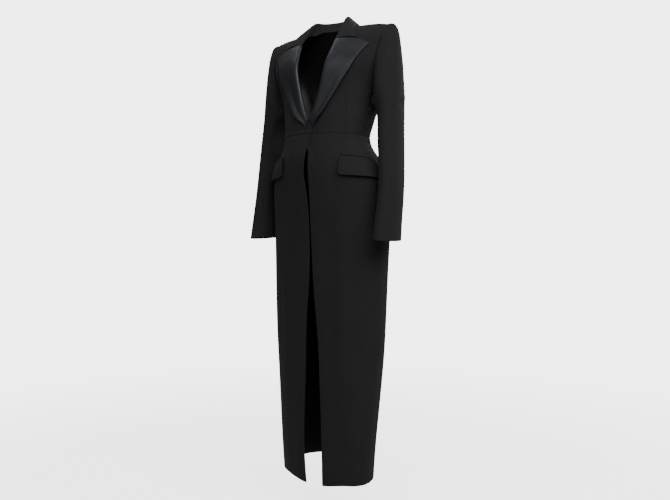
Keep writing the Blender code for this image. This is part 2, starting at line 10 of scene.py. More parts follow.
import bpy
import numpy as np
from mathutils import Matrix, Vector


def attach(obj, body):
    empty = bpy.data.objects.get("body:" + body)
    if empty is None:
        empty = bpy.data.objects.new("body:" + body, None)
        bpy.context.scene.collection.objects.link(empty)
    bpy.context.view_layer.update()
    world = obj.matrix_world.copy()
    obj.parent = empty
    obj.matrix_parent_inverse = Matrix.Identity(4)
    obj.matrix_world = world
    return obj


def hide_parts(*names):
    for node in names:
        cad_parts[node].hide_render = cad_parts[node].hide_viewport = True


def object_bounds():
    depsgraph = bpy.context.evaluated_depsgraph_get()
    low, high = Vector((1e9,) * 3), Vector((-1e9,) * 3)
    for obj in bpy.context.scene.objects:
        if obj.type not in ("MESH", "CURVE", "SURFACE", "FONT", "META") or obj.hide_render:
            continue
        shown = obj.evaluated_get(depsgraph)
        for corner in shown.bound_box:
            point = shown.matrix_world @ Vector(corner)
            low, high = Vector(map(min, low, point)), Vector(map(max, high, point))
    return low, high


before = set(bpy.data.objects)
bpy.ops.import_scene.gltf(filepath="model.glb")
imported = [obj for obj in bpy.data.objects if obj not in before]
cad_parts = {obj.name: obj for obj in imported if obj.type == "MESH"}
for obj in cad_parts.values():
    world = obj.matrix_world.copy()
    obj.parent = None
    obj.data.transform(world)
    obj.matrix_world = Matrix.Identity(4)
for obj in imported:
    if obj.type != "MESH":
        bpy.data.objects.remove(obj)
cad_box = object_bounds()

# ---- Bodice fronts ----
# Two wool fronts, each shaped by a long dart from the bust to the waist. They open along the roll
# line, where the lapel turns back, and lap at the waist, right over left, on a hidden hook.
SIDES = ((1, "left"), (-1, "right"))
CLOTH = 0.0020
SEAM_SINK, SEAM_SOFT, SEAM_LAP = 0.0013, 0.0024, 0.0007
STEP = 0.005
RING_ROWS = (
    # height, half width, front, back, front power, back power, offset, front and back armhole
    (0.000, 0.236, 0.004, 0.004, 1.9, 2.0, 0.000, 0.205, 0.205),
    (-0.005, 0.236, -0.017, 0.024, 1.8, 2.0, 0.000, 0.203, 0.205),
    (-0.024, 0.236, -0.047, 0.048, 1.65, 2.0, 0.000, 0.200, 0.203),
    (-0.060, 0.235, -0.074, 0.074, 1.55, 2.0, 0.000, 0.197, 0.199),
    (-0.100, 0.212, -0.093, 0.092, 1.65, 2.0, 0.000, 0.192, 0.188),
    (-0.145, 0.183, -0.0955, 0.101, 1.8, 2.1, 0.000, 0.1803, 0.173),
    (-0.203, 0.1610, -0.0955, 0.100, 2.0, 2.2, 0.000, 0.1598, 0.1507),
    (-0.238, 0.1510, -0.0975, 0.090, 2.2, 2.2, 0.001, 0.160, 0.150),
    (-0.272, 0.1445, -0.101, 0.079, 2.2, 2.2, 0.001, 0.160, 0.150),
    (-0.300, 0.1420, -0.106, 0.072, 2.1, 2.2, 0.000, 0.160, 0.150),
    (-0.330, 0.1510, -0.113, 0.075, 1.9, 2.2, 0.000, 0.160, 0.150),
    (-0.360, 0.1720, -0.118, 0.088, 1.8, 2.2, -0.002, 0.160, 0.150),
    (-0.420, 0.1955, -0.1145, 0.105, 1.9, 2.2, -0.002, 0.160, 0.150),
    (-0.526, 0.2000, -0.099, 0.112, 2.1, 2.2, -0.003, 0.160, 0.150),
    (-0.664, 0.1945, -0.0915, 0.112, 2.2, 2.2, -0.007, 0.160, 0.150),
    (-0.848, 0.1880, -0.0895, 0.106, 2.2, 2.2, -0.008, 0.160, 0.150),
    (-0.994, 0.1775, -0.0885, 0.098, 2.2, 2.2, -0.007, 0.160, 0.150),
    (-1.171, 0.1630, -0.0835, 0.085, 2.2, 2.2, -0.009, 0.160, 0.150),
    (-1.310, 0.1550, -0.0710, 0.078, 2.2, 2.2, -0.012, 0.160, 0.150),
)
SHOULDER_SLOPES = (0.0, 0.0, -0.021, 0.021, 0.0, 0.0, 0.0, 0.0, 0.0)
SHOULDER_TIP, SHOULDER_RISE = 0.236, 0.022
NAPE_RISE, NAPE_HALF, NAPE_GROWS, NAPE_KEEPS, NAPE_FADES = 0.035, 0.085, 1.6, 2.0, 3.5
POWER_TURN, POWER_SPAN = 0.42, 0.16
TURN_NUDGE, LEVEL_NUDGE = 0.003, 0.02
UNDERARM, WAIST, WAIST_RISE = 6, 9, 0.30
SIDE_FRONT, SIDE_BACK = 0.46, 0.62
ROLL_ROOM, ROLL_FOOT, ROLL_EASE, ROLL_RISE = 0.0045, -0.265, 0.02, 0.030
ROLL_ROWS = ((0.030, 0.0690), (0.000, 0.0665), (-0.040, 0.0620), (-0.080, 0.0550),
             (-0.120, 0.0470), (-0.160, 0.0370), (-0.200, 0.0248), (-0.235, 0.0100),
             (-0.250, 0.0010), (-0.262, -0.0090), (-0.300, -0.0120))
BODICE_DART = ((0.02, 0.118), (-0.060, 0.112), (-0.187, 0.1095), (-0.244, 0.1120), (-0.300, 0.1135))
DART_TOP, DART_FADE, DART_SHARE, BODICE_PRESS, PRESS_WIDTH = -0.170, 0.03, 0.5, 0.0016, 0.0018
WAIST_RIDGE, RIDGE_HEIGHT, RIDGE_SOFT = 0.0009, -0.287, 0.0035
LAP_SINK, LAP_REACH, LAP_EASE = 0.0036, 0.050, 0.035
LAP_FOOT, LAP_TOP, LAP_FADE = -0.375, -0.215, 0.030
ARM_CREASE, ARM_FOOT, ARM_FADE, ARM_SOFT = 0.0120, 0.203, 0.030, 0.0046
ARM_DEEPENS = ((0.4, -0.020, 0.03), (0.6, -0.060, 0.07))


def smooth_curve(places, values, first_slope=None):
    """A smooth curve through a table's rows, read at any number of places at once."""
    places, values = np.asarray(places, float), np.asarray(values, float)
    count, gap = len(places), np.diff(places)
    rise = np.diff(values, axis=0) / gap[:, None]
    system, wanted = np.zeros((count, count)), np.zeros_like(values)
    system[0, 0] = system[-1, -1] = 1
    if first_slope is not None:
        system[0, :2] = 2 * gap[0], gap[0]
        wanted[0] = 6 * (rise[0] - np.asarray(first_slope))
    for k in range(1, count - 1):
        system[k, k - 1:k + 2] = gap[k - 1], 2 * (gap[k - 1] + gap[k]), gap[k]
        wanted[k] = 6 * (rise[k] - rise[k - 1])
    bend = np.linalg.solve(system, wanted)

    def read(at):
        at = np.asarray(at, float)
        k = np.clip(np.searchsorted(places, at) - 1, 0, count - 2)
        before, after = (at - places[k])[..., None], (places[k + 1] - at)[..., None]
        width = gap[k][..., None]
        return ((bend[k] * after ** 3 + bend[k + 1] * before ** 3) / (6 * width)
                + (values[k] / width - bend[k] * width / 6) * after
                + (values[k + 1] / width - bend[k + 1] * width / 6) * before)

    return read


def smooth_step(value):
    value = np.clip(value, 0.0, 1.0)
    return value * value * (3 - 2 * value)


def unit(vectors):
    return vectors / np.maximum(np.linalg.norm(vectors, axis=-1, keepdims=True), 1e-12)


def down_table(rows, column=1):
    """Reads one column of a table whose first column is a height that falls."""
    curve = smooth_curve([-row[0] for row in rows], [row[column:column + 1] for row in rows])
    low, high = -rows[0][0], -rows[-1][0]
    return lambda height: curve(np.clip(-np.asarray(height, float), low, high))[..., 0]


rings = smooth_curve(range(len(RING_ROWS)), RING_ROWS, SHOULDER_SLOPES)
roll_line = down_table(ROLL_ROWS)
bodice_dart = down_table(BODICE_DART)
fine_levels = np.linspace(0, len(RING_ROWS) - 1, 6001)
fine_heights = rings(fine_levels)[:, 0]


def ring_at(level):
    """The columns of the ring table at these levels."""
    return np.moveaxis(rings(level), -1, 0)


def level_of(height):
    return np.interp(-np.asarray(height, float), -fine_heights, fine_levels)


def shoulder_height(x):
    return SHOULDER_RISE * (1 - np.minimum(np.abs(x) / SHOULDER_TIP, 1.0) ** 5)


def coat_base(side, turn, level):
    """The coat's outer surface. Turn 0 is the centre front, 1 the centre back; the level counts
    the rows of the ring table."""
    ring = ring_at(level)
    middle, depth = (ring[2] + ring[3]) / 2, (ring[3] - ring[2]) / 2
    power = ring[4] + (ring[5] - ring[4]) * smooth_step((turn - POWER_TURN) / POWER_SPAN)
    sine, cosine = np.sin(turn * math.pi), np.cos(turn * math.pi)
    x = side * ring[1] * np.sign(sine) * np.abs(sine) ** (2 / power)
    y = middle - depth * np.sign(cosine) * np.abs(cosine) ** (2 / power)
    climb = (1 - smooth_step(level / UNDERARM)) * shoulder_height(x)
    fade = smooth_step(level / NAPE_GROWS) * (1 - smooth_step((level - NAPE_KEEPS) / NAPE_FADES))
    nape = np.where(turn > 0.5, NAPE_RISE * np.exp(-(x / NAPE_HALF) ** 2) * fade, 0.0)
    return np.stack((x + ring[6], y, ring[0] + climb + nape), axis=-1)


def coat_point(side, turn, level, out=0.0):
    turn, level = np.broadcast_arrays(np.asarray(turn, float), np.asarray(level, float))
    around = coat_base(side, turn + TURN_NUDGE, level) - coat_base(side, turn - TURN_NUDGE, level)
    down = (coat_base(side, turn, level + LEVEL_NUDGE)
            - coat_base(side, turn, np.maximum(level - LEVEL_NUDGE, 0)))
    normal = -side * unit(np.cross(around, down))
    return coat_base(side, turn, level) + np.asarray(out)[..., None] * normal


def turn_of(side, x, level):
    """Turn at which the front of a ring has this x."""
    ring = ring_at(level)
    share = np.clip(side * (x - ring[6]) / ring[1], -1.0, 1.0)
    return np.sign(share) * np.arcsin(np.abs(share) ** (ring[4] / 2)) / math.pi


def back_turn(reach, level):
    """Turn at which the back of a ring is this far from the centre line."""
    ring = ring_at(level)
    share = np.minimum(np.abs(reach) / ring[1], 1.0)
    return 1 - np.arcsin(share ** (ring[5] / 2)) / math.pi


def between(shares, stops, lines):
    """Turns that run from line to line across a piece, as shares of it pass the stops."""
    turn = lines[0] + 0.0 * shares
    for k in range(len(stops) - 1):
        part = np.clip((shares - stops[k]) / (stops[k + 1] - stops[k]), 0, 1)
        turn = turn + part * (lines[k + 1] - lines[k])
    return turn


def soft_folds(across, down, folds):
    """Soft ridges and troughs, each along a line: x0, y0, x1, y1, half width, height."""
    total = np.zeros(np.broadcast(across, down).shape)
    for x0, y0, x1, y1, width, height in folds:
        long = math.hypot(x1 - x0, y1 - y0)
        along = ((across - x0) * (x1 - x0) + (down - y0) * (y1 - y0)) / long ** 2
        off = ((across - x0) * (y1 - y0) - (down - y0) * (x1 - x0)) / long
        total += height * np.sin(math.pi * np.clip(along, 0, 1)) ** 2 * np.exp(-(off / width) ** 2)
    return total


RIM = (0.0, 0.12, 0.40, 0.95, 2.2, 4.5)
FINE_DOWN, FINE_ACROSS = 161, 120


def rows_along(lengths, thick, step):
    """Places along lines of these lengths: close together at both ends, even between."""
    lengths = np.asarray(lengths, float)[:, None]
    count = max(2 * len(RIM) + 2, int(np.max(lengths) / step) + 2 * len(RIM))
    even = lengths * np.linspace(0, 1, count)[None, :]
    rim = np.array(RIM)[None, :] * thick / 2
    first = np.minimum(rim, even[:, :len(RIM)])
    last = lengths - first[:, ::-1]
    inner = np.linspace(0, 1, count - 2 * len(RIM) + 2)[None, 1:-1]
    middle = first[:, -1:] + (last[:, :1] - first[:, -1:]) * inner
    return np.concatenate((first, middle, last), axis=1)


def run_lengths(points):
    steps = np.linalg.norm(np.diff(points, axis=1), axis=2)
    return np.concatenate((np.zeros((len(points), 1)), np.cumsum(steps, axis=1)), axis=1)


def grid_normals(points):
    across = np.gradient(points, axis=1)
    down = np.gradient(points, axis=0)
    return unit(np.cross(across, down))


def cloth_piece(name, place, facing, finish, thick=CLOTH, stops=(0, 1), relief=None, step=STEP,
                down_step=None, sewn="", lap_top=0.0007):
    """A closed cloth shell. place(u, v) gives its middle surface, u across and v down from 0 to 1.

    relief(points, u, v, s, t) lifts it off that surface, s and t being the lengths across and down
    in metres. The sewn edges, named by the letters of first, last, top and bottom, run a little
    past their seam line into the next piece and sink there, as a pressed seam does.
    """
    past = {letter: SEAM_LAP if letter in sewn else 0.0 for letter in "fltb"}
    past["t"] = lap_top if "t" in sewn else 0.0
    fine = np.linspace(0, 1, FINE_DOWN)
    v_run = run_lengths(place(np.full((1, FINE_DOWN), 0.5), fine[None, :]))
    v_total = v_run[0, -1]
    t_row = rows_along([v_total + past["t"] + past["b"]], thick, down_step or step)[0] - past["t"]
    v = np.interp(t_row, v_run[0], fine)
    u_fine = np.concatenate([np.linspace(a, b, FINE_ACROSS + 1)[k > 0:] for k, (a, b)
                             in enumerate(zip(stops, stops[1:]))])
    u_grid, v_grid = np.meshgrid(u_fine, v)
    run = run_lengths(place(u_grid, v_grid))
    parts = []
    for k in range(len(stops) - 1):
        start = run[:, FINE_ACROSS * k] - (past["f"] if k == 0 else 0)
        end = run[:, FINE_ACROSS * (k + 1)] + (past["l"] if k == len(stops) - 2 else 0)
        places = start[:, None] + rows_along(end - start, thick, step)
        parts.append(places[:, (1 if k else 0):])
    s = np.concatenate(parts, axis=1)
    u = np.array([np.interp(s[r], run[r], u_fine) for r in range(len(v))])
    t = np.repeat(t_row[:, None], u.shape[1], axis=1)
    vv = np.repeat(v[:, None], u.shape[1], axis=1)
    base = place(u, vv)
    inside_s, inside_t = np.clip(s, 0, run[:, -1:]), np.clip(t, 0, v_total)
    rim = len(RIM)
    for shift, first, last in (
            (s - inside_s, base[:, rim:rim + 1] - base[:, :1], base[:, -1:] - base[:, -rim - 1:-rim]),
            (t - inside_t, base[rim:rim + 1] - base[:1], base[-1:] - base[-rim - 1:-rim])):
        base = base + (np.minimum(shift, 0)[..., None] * unit(first)
                       + np.maximum(shift, 0)[..., None] * unit(last))
    normals = grid_normals(base)
    if np.dot(normals[len(v) // 2, u.shape[1] // 2], facing) < 0:
        normals = -normals
    rims = {"f": s - s[:, :1], "l": s[:, -1:] - s, "t": t - t_row[0], "b": t_row[-1] - t}
    edge = np.minimum.reduce(list(rims.values()))
    if relief is not None or sewn:
        shift = relief(base, u, vv, s, t) if relief is not None else 0.0 * s
        for letter in sewn:
            shift = shift - SEAM_SINK * np.exp(-(rims[letter] / SEAM_SOFT) ** 2)
        base = base + shift[..., None] * normals
        flipped = grid_normals(base)
        normals = flipped * np.sign(np.sum(flipped * normals, axis=2, keepdims=True))
    part = np.clip(edge / (thick / 2), 0, 1)
    half = thick / 2 * np.sqrt(np.maximum(0, 1 - (1 - part) ** 2))
    return shell(name, base, normals, half, rims["f"], rims["t"], finish)


def add_object(name, data):
    made = bpy.data.objects.new(name, data)
    bpy.context.scene.collection.objects.link(made)
    return made


def shell(name, base, normals, half, s, t, finish):
    """Joins an outer and an inner sheet at their common rim into one closed mesh."""
    rows, columns = base.shape[:2]
    outer = (base + normals * half[..., None]).reshape(-1, 3)
    inner = (base - normals * half[..., None]).reshape(-1, 3)
    index = np.arange(rows * columns).reshape(rows, columns)
    inside = np.zeros((rows, columns), bool)
    inside[1:-1, 1:-1] = True
    inner_index = index.copy()
    inner_index[inside] = rows * columns + np.arange(inside.sum())
    points = np.concatenate((outer, inner.reshape(rows, columns, 3)[inside]))
    quads = np.stack((index[:-1, :-1], index[:-1, 1:], index[1:, 1:], index[1:, :-1]), -1)
    lining = np.stack((inner_index[:-1, :-1], inner_index[1:, :-1], inner_index[1:, 1:],
                       inner_index[:-1, 1:]), -1)
    faces = np.concatenate((quads.reshape(-1, 4), lining.reshape(-1, 4)))
    row, column = rows // 2, columns // 2
    beside, middle, below = points[index[[row, row, row + 1], [column + 1, column, column]]]
    if np.dot(np.cross(beside - middle, below - middle), normals[row, column]) < 0:
        faces = faces[:, ::-1]
    mesh = bpy.data.meshes.new(name)
    mesh.from_pydata(points.tolist(), [], faces.tolist())
    flat = np.stack((s, t), -1).reshape(-1, 2)
    flat = np.concatenate((flat, flat.reshape(rows, columns, 2)[inside]))
    uv = mesh.uv_layers.new(name="cut")
    corners = np.empty(len(mesh.loops), int)
    mesh.loops.foreach_get("vertex_index", corners)
    uv.data.foreach_set("uv", flat[corners].reshape(-1))
    layer = mesh.attributes.new("inner_side", "FLOAT", "POINT")
    value = np.zeros(len(points))
    value[rows * columns:] = 1.0
    layer.data.foreach_set("value", value)
    mesh.polygons.foreach_set("use_smooth", np.ones(len(faces), bool))
    mesh.update()
    made = add_object(name, mesh)
    mesh.materials.append(finish)
    made["cut"] = (float(np.ptp(s, axis=1).max()), float(t.max()), float(sum(
        p.area for p in mesh.polygons) / 2))
    return made


def hang(piece, slot, *nodes):
    """Fixes a finished piece to the coat, in the place of its CAD nodes."""
    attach(piece, "root")
    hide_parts(*nodes)


def dress(piece, node, slot="black_wool"):
    """Hangs a cloth piece in the place of its CAD node."""
    hang(piece, slot, node)


class Wire:
    """A value in a material. Sums and products of it add their Math nodes."""

    def __init__(self, tree, socket=None):
        self.tree, self.socket = tree, socket

    def add(self, kind, inputs=(), output=0, **settings):
        made = self.tree.nodes.new(kind)
        stops = settings.pop("stops", ())
        for name, value in settings.items():
            setattr(made, name, value)
        for k, (place, value) in enumerate(stops):
            ramp = made.color_ramp.elements
            stop = ramp[k] if k < len(ramp) else ramp.new(place)
            stop.position, stop.color = place, (value, value, value, 1.0)
        for name, value in dict(inputs).items():
            self.join(made.inputs[name], value)
        return Wire(self.tree, made.outputs[output])

    def join(self, socket, value):
        if isinstance(value, Wire):
            self.tree.links.new(value.socket, socket)
        else:
            socket.default_value = value

    def maths(self, operation, first, second):
        return self.add("ShaderNodeMath", {0: first, 1: second}, operation=operation)

    def __add__(self, other):
        return self.maths("ADD", self, other)

    def __sub__(self, other):
        return self.maths("SUBTRACT", self, other)

    def __rsub__(self, other):
        return self.maths("SUBTRACT", other, self)

    def __mul__(self, other):
        return self.maths("MULTIPLY", self, other)

    __radd__, __rmul__ = __add__, __mul__


def new_finish(name, **constants):
    """A material with its plain values set, and the wire that its nodes start from."""
    made = bpy.data.materials.new(name)
    made.use_nodes = True
    shader = made.node_tree.nodes["Principled BSDF"]
    for socket, value in constants.items():
        shader.inputs[socket.replace("_", " ")].default_value = value
    return made, shader, Wire(made.node_tree)


def mix_colour(wire, factor, *colours):
    first, second = [(*c, 1.0) if isinstance(c, tuple) else c for c in colours]
    return wire.add("ShaderNodeMix", {0: factor, 6: first, 7: second}, output=2, data_type="RGBA")


WOOL_DARK, WOOL_LIGHT = (0.0048, 0.0048, 0.0051), (0.0086, 0.0086, 0.0093)
LINING, LINING_ROUGH = (0.0034, 0.0034, 0.0038), 0.42
THREAD, TWILL_SLANT, TWILL_RELIEF = 0.0009, math.radians(58), 0.00022
WOOL_ROUGH, ROUGH_SWING = 0.84, 0.14


def wool_cloth():
    """Twill cloth: slanting ribs along the cut, a short nap, uneven depth of dye, lined inside."""
    made, shader, wire = new_finish("black_wool_twill", Specular_IOR_Level=0.08,
                                    Sheen_Weight=0.012, Sheen_Roughness=0.5)
    cut = wire.add("ShaderNodeUVMap", uv_map="cut")
    place = wire.add("ShaderNodeTexCoord", output=3)
    slant = wire.add("ShaderNodeMapping", {"Vector": cut, "Rotation": (0, 0, TWILL_SLANT)})
    ribs = wire.add("ShaderNodeTexWave", {"Vector": slant, "Scale": 0.314 / THREAD,
                                          "Distortion": 0.6, "Detail": 1.0}, output=1,
                    wave_profile="SIN")
    nap = wire.add("ShaderNodeTexNoise", {"Vector": cut, "Scale": 0.55 / THREAD, "Detail": 3.0},
                   noise_dimensions="2D")
    broad = wire.add("ShaderNodeTexNoise", {"Vector": place, "Scale": 9.0, "Detail": 4.0,
                                            "Roughness": 0.6})
    inner = wire.add("ShaderNodeAttribute", output=2, attribute_name="inner_side")
    tone = broad * 0.55 + nap * 0.3 + ribs * 0.15
    face = mix_colour(wire, tone, WOOL_DARK, WOOL_LIGHT)
    wire.join(shader.inputs["Base Color"], mix_colour(wire, inner, face, LINING))
    wire.join(shader.inputs["Roughness"], (nap - 0.5) * ROUGH_SWING + WOOL_ROUGH
              - inner * (WOOL_ROUGH - LINING_ROUGH))
    height = ribs * 0.5 + nap * 0.7
    bump = wire.add("ShaderNodeBump", {"Height": height * (1 - inner * 0.8), "Strength": 0.55,
                                       "Distance": TWILL_RELIEF})
    wire.join(shader.inputs["Normal"], bump)
    return made


wool = wool_cloth()


def waist_level(turn):
    return WAIST - WAIST_RISE * np.maximum(0.0, np.cos(turn * math.pi)) ** 2


def lapped_point(side, turn, level):
    """The middle of a front's cloth. The left front goes in where the right one laps over it."""
    if side < 0:
        return coat_point(side, turn, level, -CLOTH / 2 + 0.0 * turn)
    spot = coat_base(side, turn, level)
    across = smooth_step((LAP_REACH - spot[..., 0]) / LAP_EASE)
    height = rings(level)[..., 0]
    down = smooth_step((height - LAP_FOOT) / LAP_FADE) * smooth_step((LAP_TOP - height) / LAP_FADE)
    return coat_point(side, turn, level, -LAP_SINK * across * down - CLOTH / 2)


def dart_groove(s, u, share, depth):
    """The pressed line of a dart that runs down the cloth at this share of its width."""
    line = s[:, [int(np.argmin(np.abs(u[0] - share)))]]
    return -depth * np.exp(-((s - line) / PRESS_WIDTH) ** 2)


def bodice_front_place(side, u, v):
    nominal = WAIST * v
    edge_level = nominal - WAIST_RISE * smooth_step(nominal - (WAIST - 1))
    ring = rings(edge_level)
    height = ring[..., 0]
    roll = roll_line(height + ROLL_RISE * (1 - smooth_step(edge_level / 2)))
    roll = roll + ROLL_ROOM * smooth_step((height - ROLL_FOOT) / ROLL_EASE)
    start = turn_of(side, side * roll, edge_level)
    seam = turn_of(side, side * ring[..., 7], edge_level)
    end = np.where(edge_level < UNDERARM, seam, SIDE_FRONT)
    lines = (start, turn_of(side, side * bodice_dart(height), edge_level), end)
    turn = between(u, (0, DART_SHARE, 1), lines)
    level = nominal - (WAIST - waist_level(turn)) * smooth_step(nominal - (WAIST - 1))
    return lapped_point(side, turn, level)


# Each fold's line, from and to, as distance from the centre and height; half width; rise.
FRONT_FOLDS = (
    (0.150, -0.075, 0.125, -0.225, 0.012, -0.0014), (0.172, -0.060, 0.150, -0.170, 0.007, 0.0016),
    (0.095, -0.215, 0.060, -0.285, 0.010, 0.0009), (0.135, -0.262, 0.080, -0.290, 0.007, -0.0009),
    (0.050, -0.262, 0.016, -0.286, 0.007, 0.0008),
)
FAR_FOLDS = (
    (0.148, -0.055, 0.128, -0.250, 0.006, 0.0026), (0.162, -0.070, 0.140, -0.215, 0.005, -0.0022),
    (0.176, -0.055, 0.156, -0.185, 0.006, 0.0024),
)


def bodice_front_relief(side, points, u, v, s, t):
    across, height = side * points[..., 0], points[..., 2]
    closed = smooth_step((DART_TOP - height) / DART_FADE)
    press = dart_groove(s, u, DART_SHARE, BODICE_PRESS) * closed
    folds = FRONT_FOLDS + (FAR_FOLDS if side < 0 else ())
    ridge = WAIST_RIDGE * np.exp(-((height - RIDGE_HEIGHT) / RIDGE_SOFT) ** 2)
    sunk = sum(share * smooth_step((top - height) / fade) for share, top, fade in ARM_DEEPENS)
    sunk = sunk * smooth_step((height + ARM_FOOT + ARM_FADE) / ARM_FADE)
    crease = -ARM_CREASE * sunk * np.exp(-((s[:, -1:] - s) / ARM_SOFT) ** 2)
    return press + soft_folds(across, height, folds) + ridge + crease


for side, hand in SIDES:
    front = cloth_piece(f"front_{hand}", partial(bodice_front_place, side), (0, -1, 0), wool,
                        stops=(0, DART_SHARE, 1), relief=partial(bodice_front_relief, side),
                        step=0.004, sewn="ltb")
    dress(front, f"bodice_front_{hand}")

# ---- Bodice side panels ----
# A narrow wool panel under each arm, sewn between front and back, takes the waist in. A crease
# runs down its front seam from the armhole, as on the front.


def side_panel_place(side, u, v):
    turn = SIDE_FRONT + (SIDE_BACK - SIDE_FRONT) * u
    level = UNDERARM + (waist_level(turn) - UNDERARM) * v
    return coat_point(side, turn, level, -CLOTH / 2)


SIDE_FOLDS = (
    (0.03, -0.235, 0.10, -0.262, 0.007, 0.0010), (0.0, -0.268, 0.08, -0.290, 0.006, -0.0009),
)


def side_panel_relief(side, points, u, v, s, t):
    height = points[..., 2]
    sunk = smooth_step((height + ARM_FOOT + ARM_FADE) / ARM_FADE)
    crease = ARM_CREASE * sunk * np.exp(-(np.maximum(s, 0) / ARM_SOFT) ** 2)
    return soft_folds(s, height, SIDE_FOLDS) - crease


for side, hand in SIDES:
    panel = cloth_piece(f"side_panel_{hand}", partial(side_panel_place, side), (side, 0, 0), wool,
                        relief=partial(side_panel_relief, side), sewn="fltb")
    dress(panel, f"bodice_side_{hand}")

# ---- Bodice back ----
# Two wool backs joined by a centre seam and hollowed at the waist. They end in the neck seam,
# under the collar.
NECK_HALF, NECK_LEVEL, NECK_POWER, BACK_LEVEL, SHOULDER_ARM = 0.066, 1.80, 2.2, 3.8, 0.205


def neck_level(x):
    return NECK_LEVEL * np.sqrt(np.maximum(0.0, 1 - (np.abs(x) / NECK_HALF) ** NECK_POWER))


def bodice_back_place(side, u, v):
    top = neck_level(SHOULDER_ARM * (1 - u))
    below = WAIST * v
    level = np.where(below < BACK_LEVEL, top + (BACK_LEVEL - top) * below / BACK_LEVEL, below)
    ring = ring_at(level)
    seam = ring[1] * math.sin(SIDE_BACK * math.pi) ** (2 / ring[5])
    reach = np.where(level < UNDERARM, np.minimum(ring[8], ring[1]), seam)
    return coat_point(side, back_turn(reach * (1 - u), level), level, -CLOTH / 2)


BACK_FOLDS = (
    (0.160, -0.085, 0.120, -0.215, 0.012, 0.0022), (0.145, -0.110, 0.100, -0.235, 0.014, -0.0020),
    (0.120, -0.255, 0.020, -0.280, 0.010, 0.0012), (0.110, -0.240, 0.030, -0.262, 0.010, -0.0010),
)


def back_relief(side, folds, points, u, v, s, t):
    return soft_folds(side * points[..., 0], points[..., 2], folds)


for side, hand in SIDES:
    back = cloth_piece(f"back_{hand}", partial(bodice_back_place, side), (0, 1, 0), wool,
                       relief=partial(back_relief, side, BACK_FOLDS), sewn="fltb")
    dress(back, f"bodice_back_{hand}")

# ---- Skirt ----
# Two fronts and two backs hang from the waist seam over padded hips to the hem. The fronts meet
# at the waist and stand apart below; a short dart runs from the waist to each pocket.
SKIRT_SIDE = 0.53
HEM_FRONT, HEM_EASE, HEM_SPAN, HEM_LIFT, HEM_POWER = -1.304, 0.013, 0.26, 0.037, 2.5
SKIRT_EDGE_ROWS = (
    # height, left edge, right edge
    (-0.290, -0.0120, -0.0120), (-0.300, -0.0120, -0.0120), (-0.318, -0.0060, -0.0090),
    (-0.338, 0.0070, -0.0040), (-0.364, 0.0120, -0.0010), (-0.395, 0.0120, 0.0035),
    (-0.445, 0.0105, 0.0005), (-0.526, 0.0060, -0.0005), (-0.620, 0.0065, 0.0010),
    (-0.730, 0.0115, 0.0060), (-0.800, 0.0180, 0.0130), (-0.897, 0.0270, 0.0180),
    (-0.994, 0.0310, 0.0205), (-1.171, 0.0335, 0.0300), (-1.310, 0.0260, 0.0305),
)
SKIRT_DART = ((-0.290, 0.1135), (-0.330, 0.1080), (-0.352, 0.1060), (-0.420, 0.1050),
              (-0.700, 0.1030), (-1.310, 0.0850))
DART_FOOT, FOOT_FADE, SKIRT_SHARE, SKIRT_PRESS = -0.352, 0.02, 0.45, 0.0015
skirt_edge = {1: down_table(SKIRT_EDGE_ROWS), -1: down_table(SKIRT_EDGE_ROWS, 2)}
skirt_dart = down_table(SKIRT_DART)


def hem_level(turn):
    lift = HEM_LIFT * ((1 - np.cos(turn * math.pi)) / 2) ** HEM_POWER
    return level_of(HEM_FRONT + (HEM_EASE * smooth_step(turn / HEM_SPAN) + lift))


def skirt_level(turn, v):
    top = waist_level(turn)
    return top + (hem_level(turn) - top) * v


def skirt_front_place(side, u, v):
    level = skirt_level(0.0 * v, v)
    height = rings(level)[..., 0]
    lines = (turn_of(side, side * skirt_edge[side](height), level),
             turn_of(side, side * skirt_dart(height), level), SKIRT_SIDE)
    turn = between(u, (0, SKIRT_SHARE, 1), lines)
    level = skirt_level(turn, v)
    return lapped_point(side, turn, level)


SKIRT_FOLDS = (
    (0.118, -0.300, 0.088, -0.352, 0.011, -0.0016), (0.060, -0.300, 0.040, -0.370, 0.014, 0.0014),
    (0.095, -0.345, 0.085, -0.470, 0.010, -0.0014), (0.030, -0.420, 0.036, -0.900, 0.022, 0.0022),
    (0.070, -0.440, 0.066, -1.080, 0.020, -0.0020), (0.105, -0.480, 0.100, -1.180, 0.020, 0.0022),
    (0.140, -0.460, 0.128, -1.120, 0.018, -0.0018), (0.050, -0.800, 0.058, -1.400, 0.020, 0.0016),
    (0.085, -0.850, 0.080, -1.420, 0.018, -0.0014),
)


def skirt_front_relief(side, points, u, v, s, t):
    across, height = side * points[..., 0], points[..., 2]
    closed = smooth_step((height - DART_FOOT) / FOOT_FADE)
    press = dart_groove(s, u, SKIRT_SHARE, SKIRT_PRESS) * closed
    return press + soft_folds(across, height, SKIRT_FOLDS)


def skirt_back_place(side, u, v):
    turn = SKIRT_SIDE + (1 - SKIRT_SIDE) * u
    return coat_point(side, turn, skirt_level(turn, v), -CLOTH / 2)


SKIRT_BACK_FOLDS = (
    (0.150, -0.330, 0.120, -0.900, 0.020, 0.0024), (0.110, -0.310, 0.095, -1.150, 0.022, -0.0022),
    (0.060, -0.340, 0.056, -1.350, 0.020, 0.0030), (0.022, -0.360, 0.026, -1.250, 0.014, -0.0026),
)
for side, hand in SIDES:
    front = cloth_piece(f"skirt_{hand}_front", partial(skirt_front_place, side), (0, -1, 0), wool,
                        stops=(0, SKIRT_SHARE, 1), relief=partial(skirt_front_relief, side),
                        step=0.0045, down_step=0.006, sewn="lt")
    dress(front, f"skirt_front_{hand}")
    back = cloth_piece(f"skirt_{hand}_back", partial(skirt_back_place, side), (0, 1, 0), wool,
                       relief=partial(back_relief, side, SKIRT_BACK_FOLDS), down_step=0.006,
                       sewn="flt")
    dress(back, f"skirt_back_{hand}")

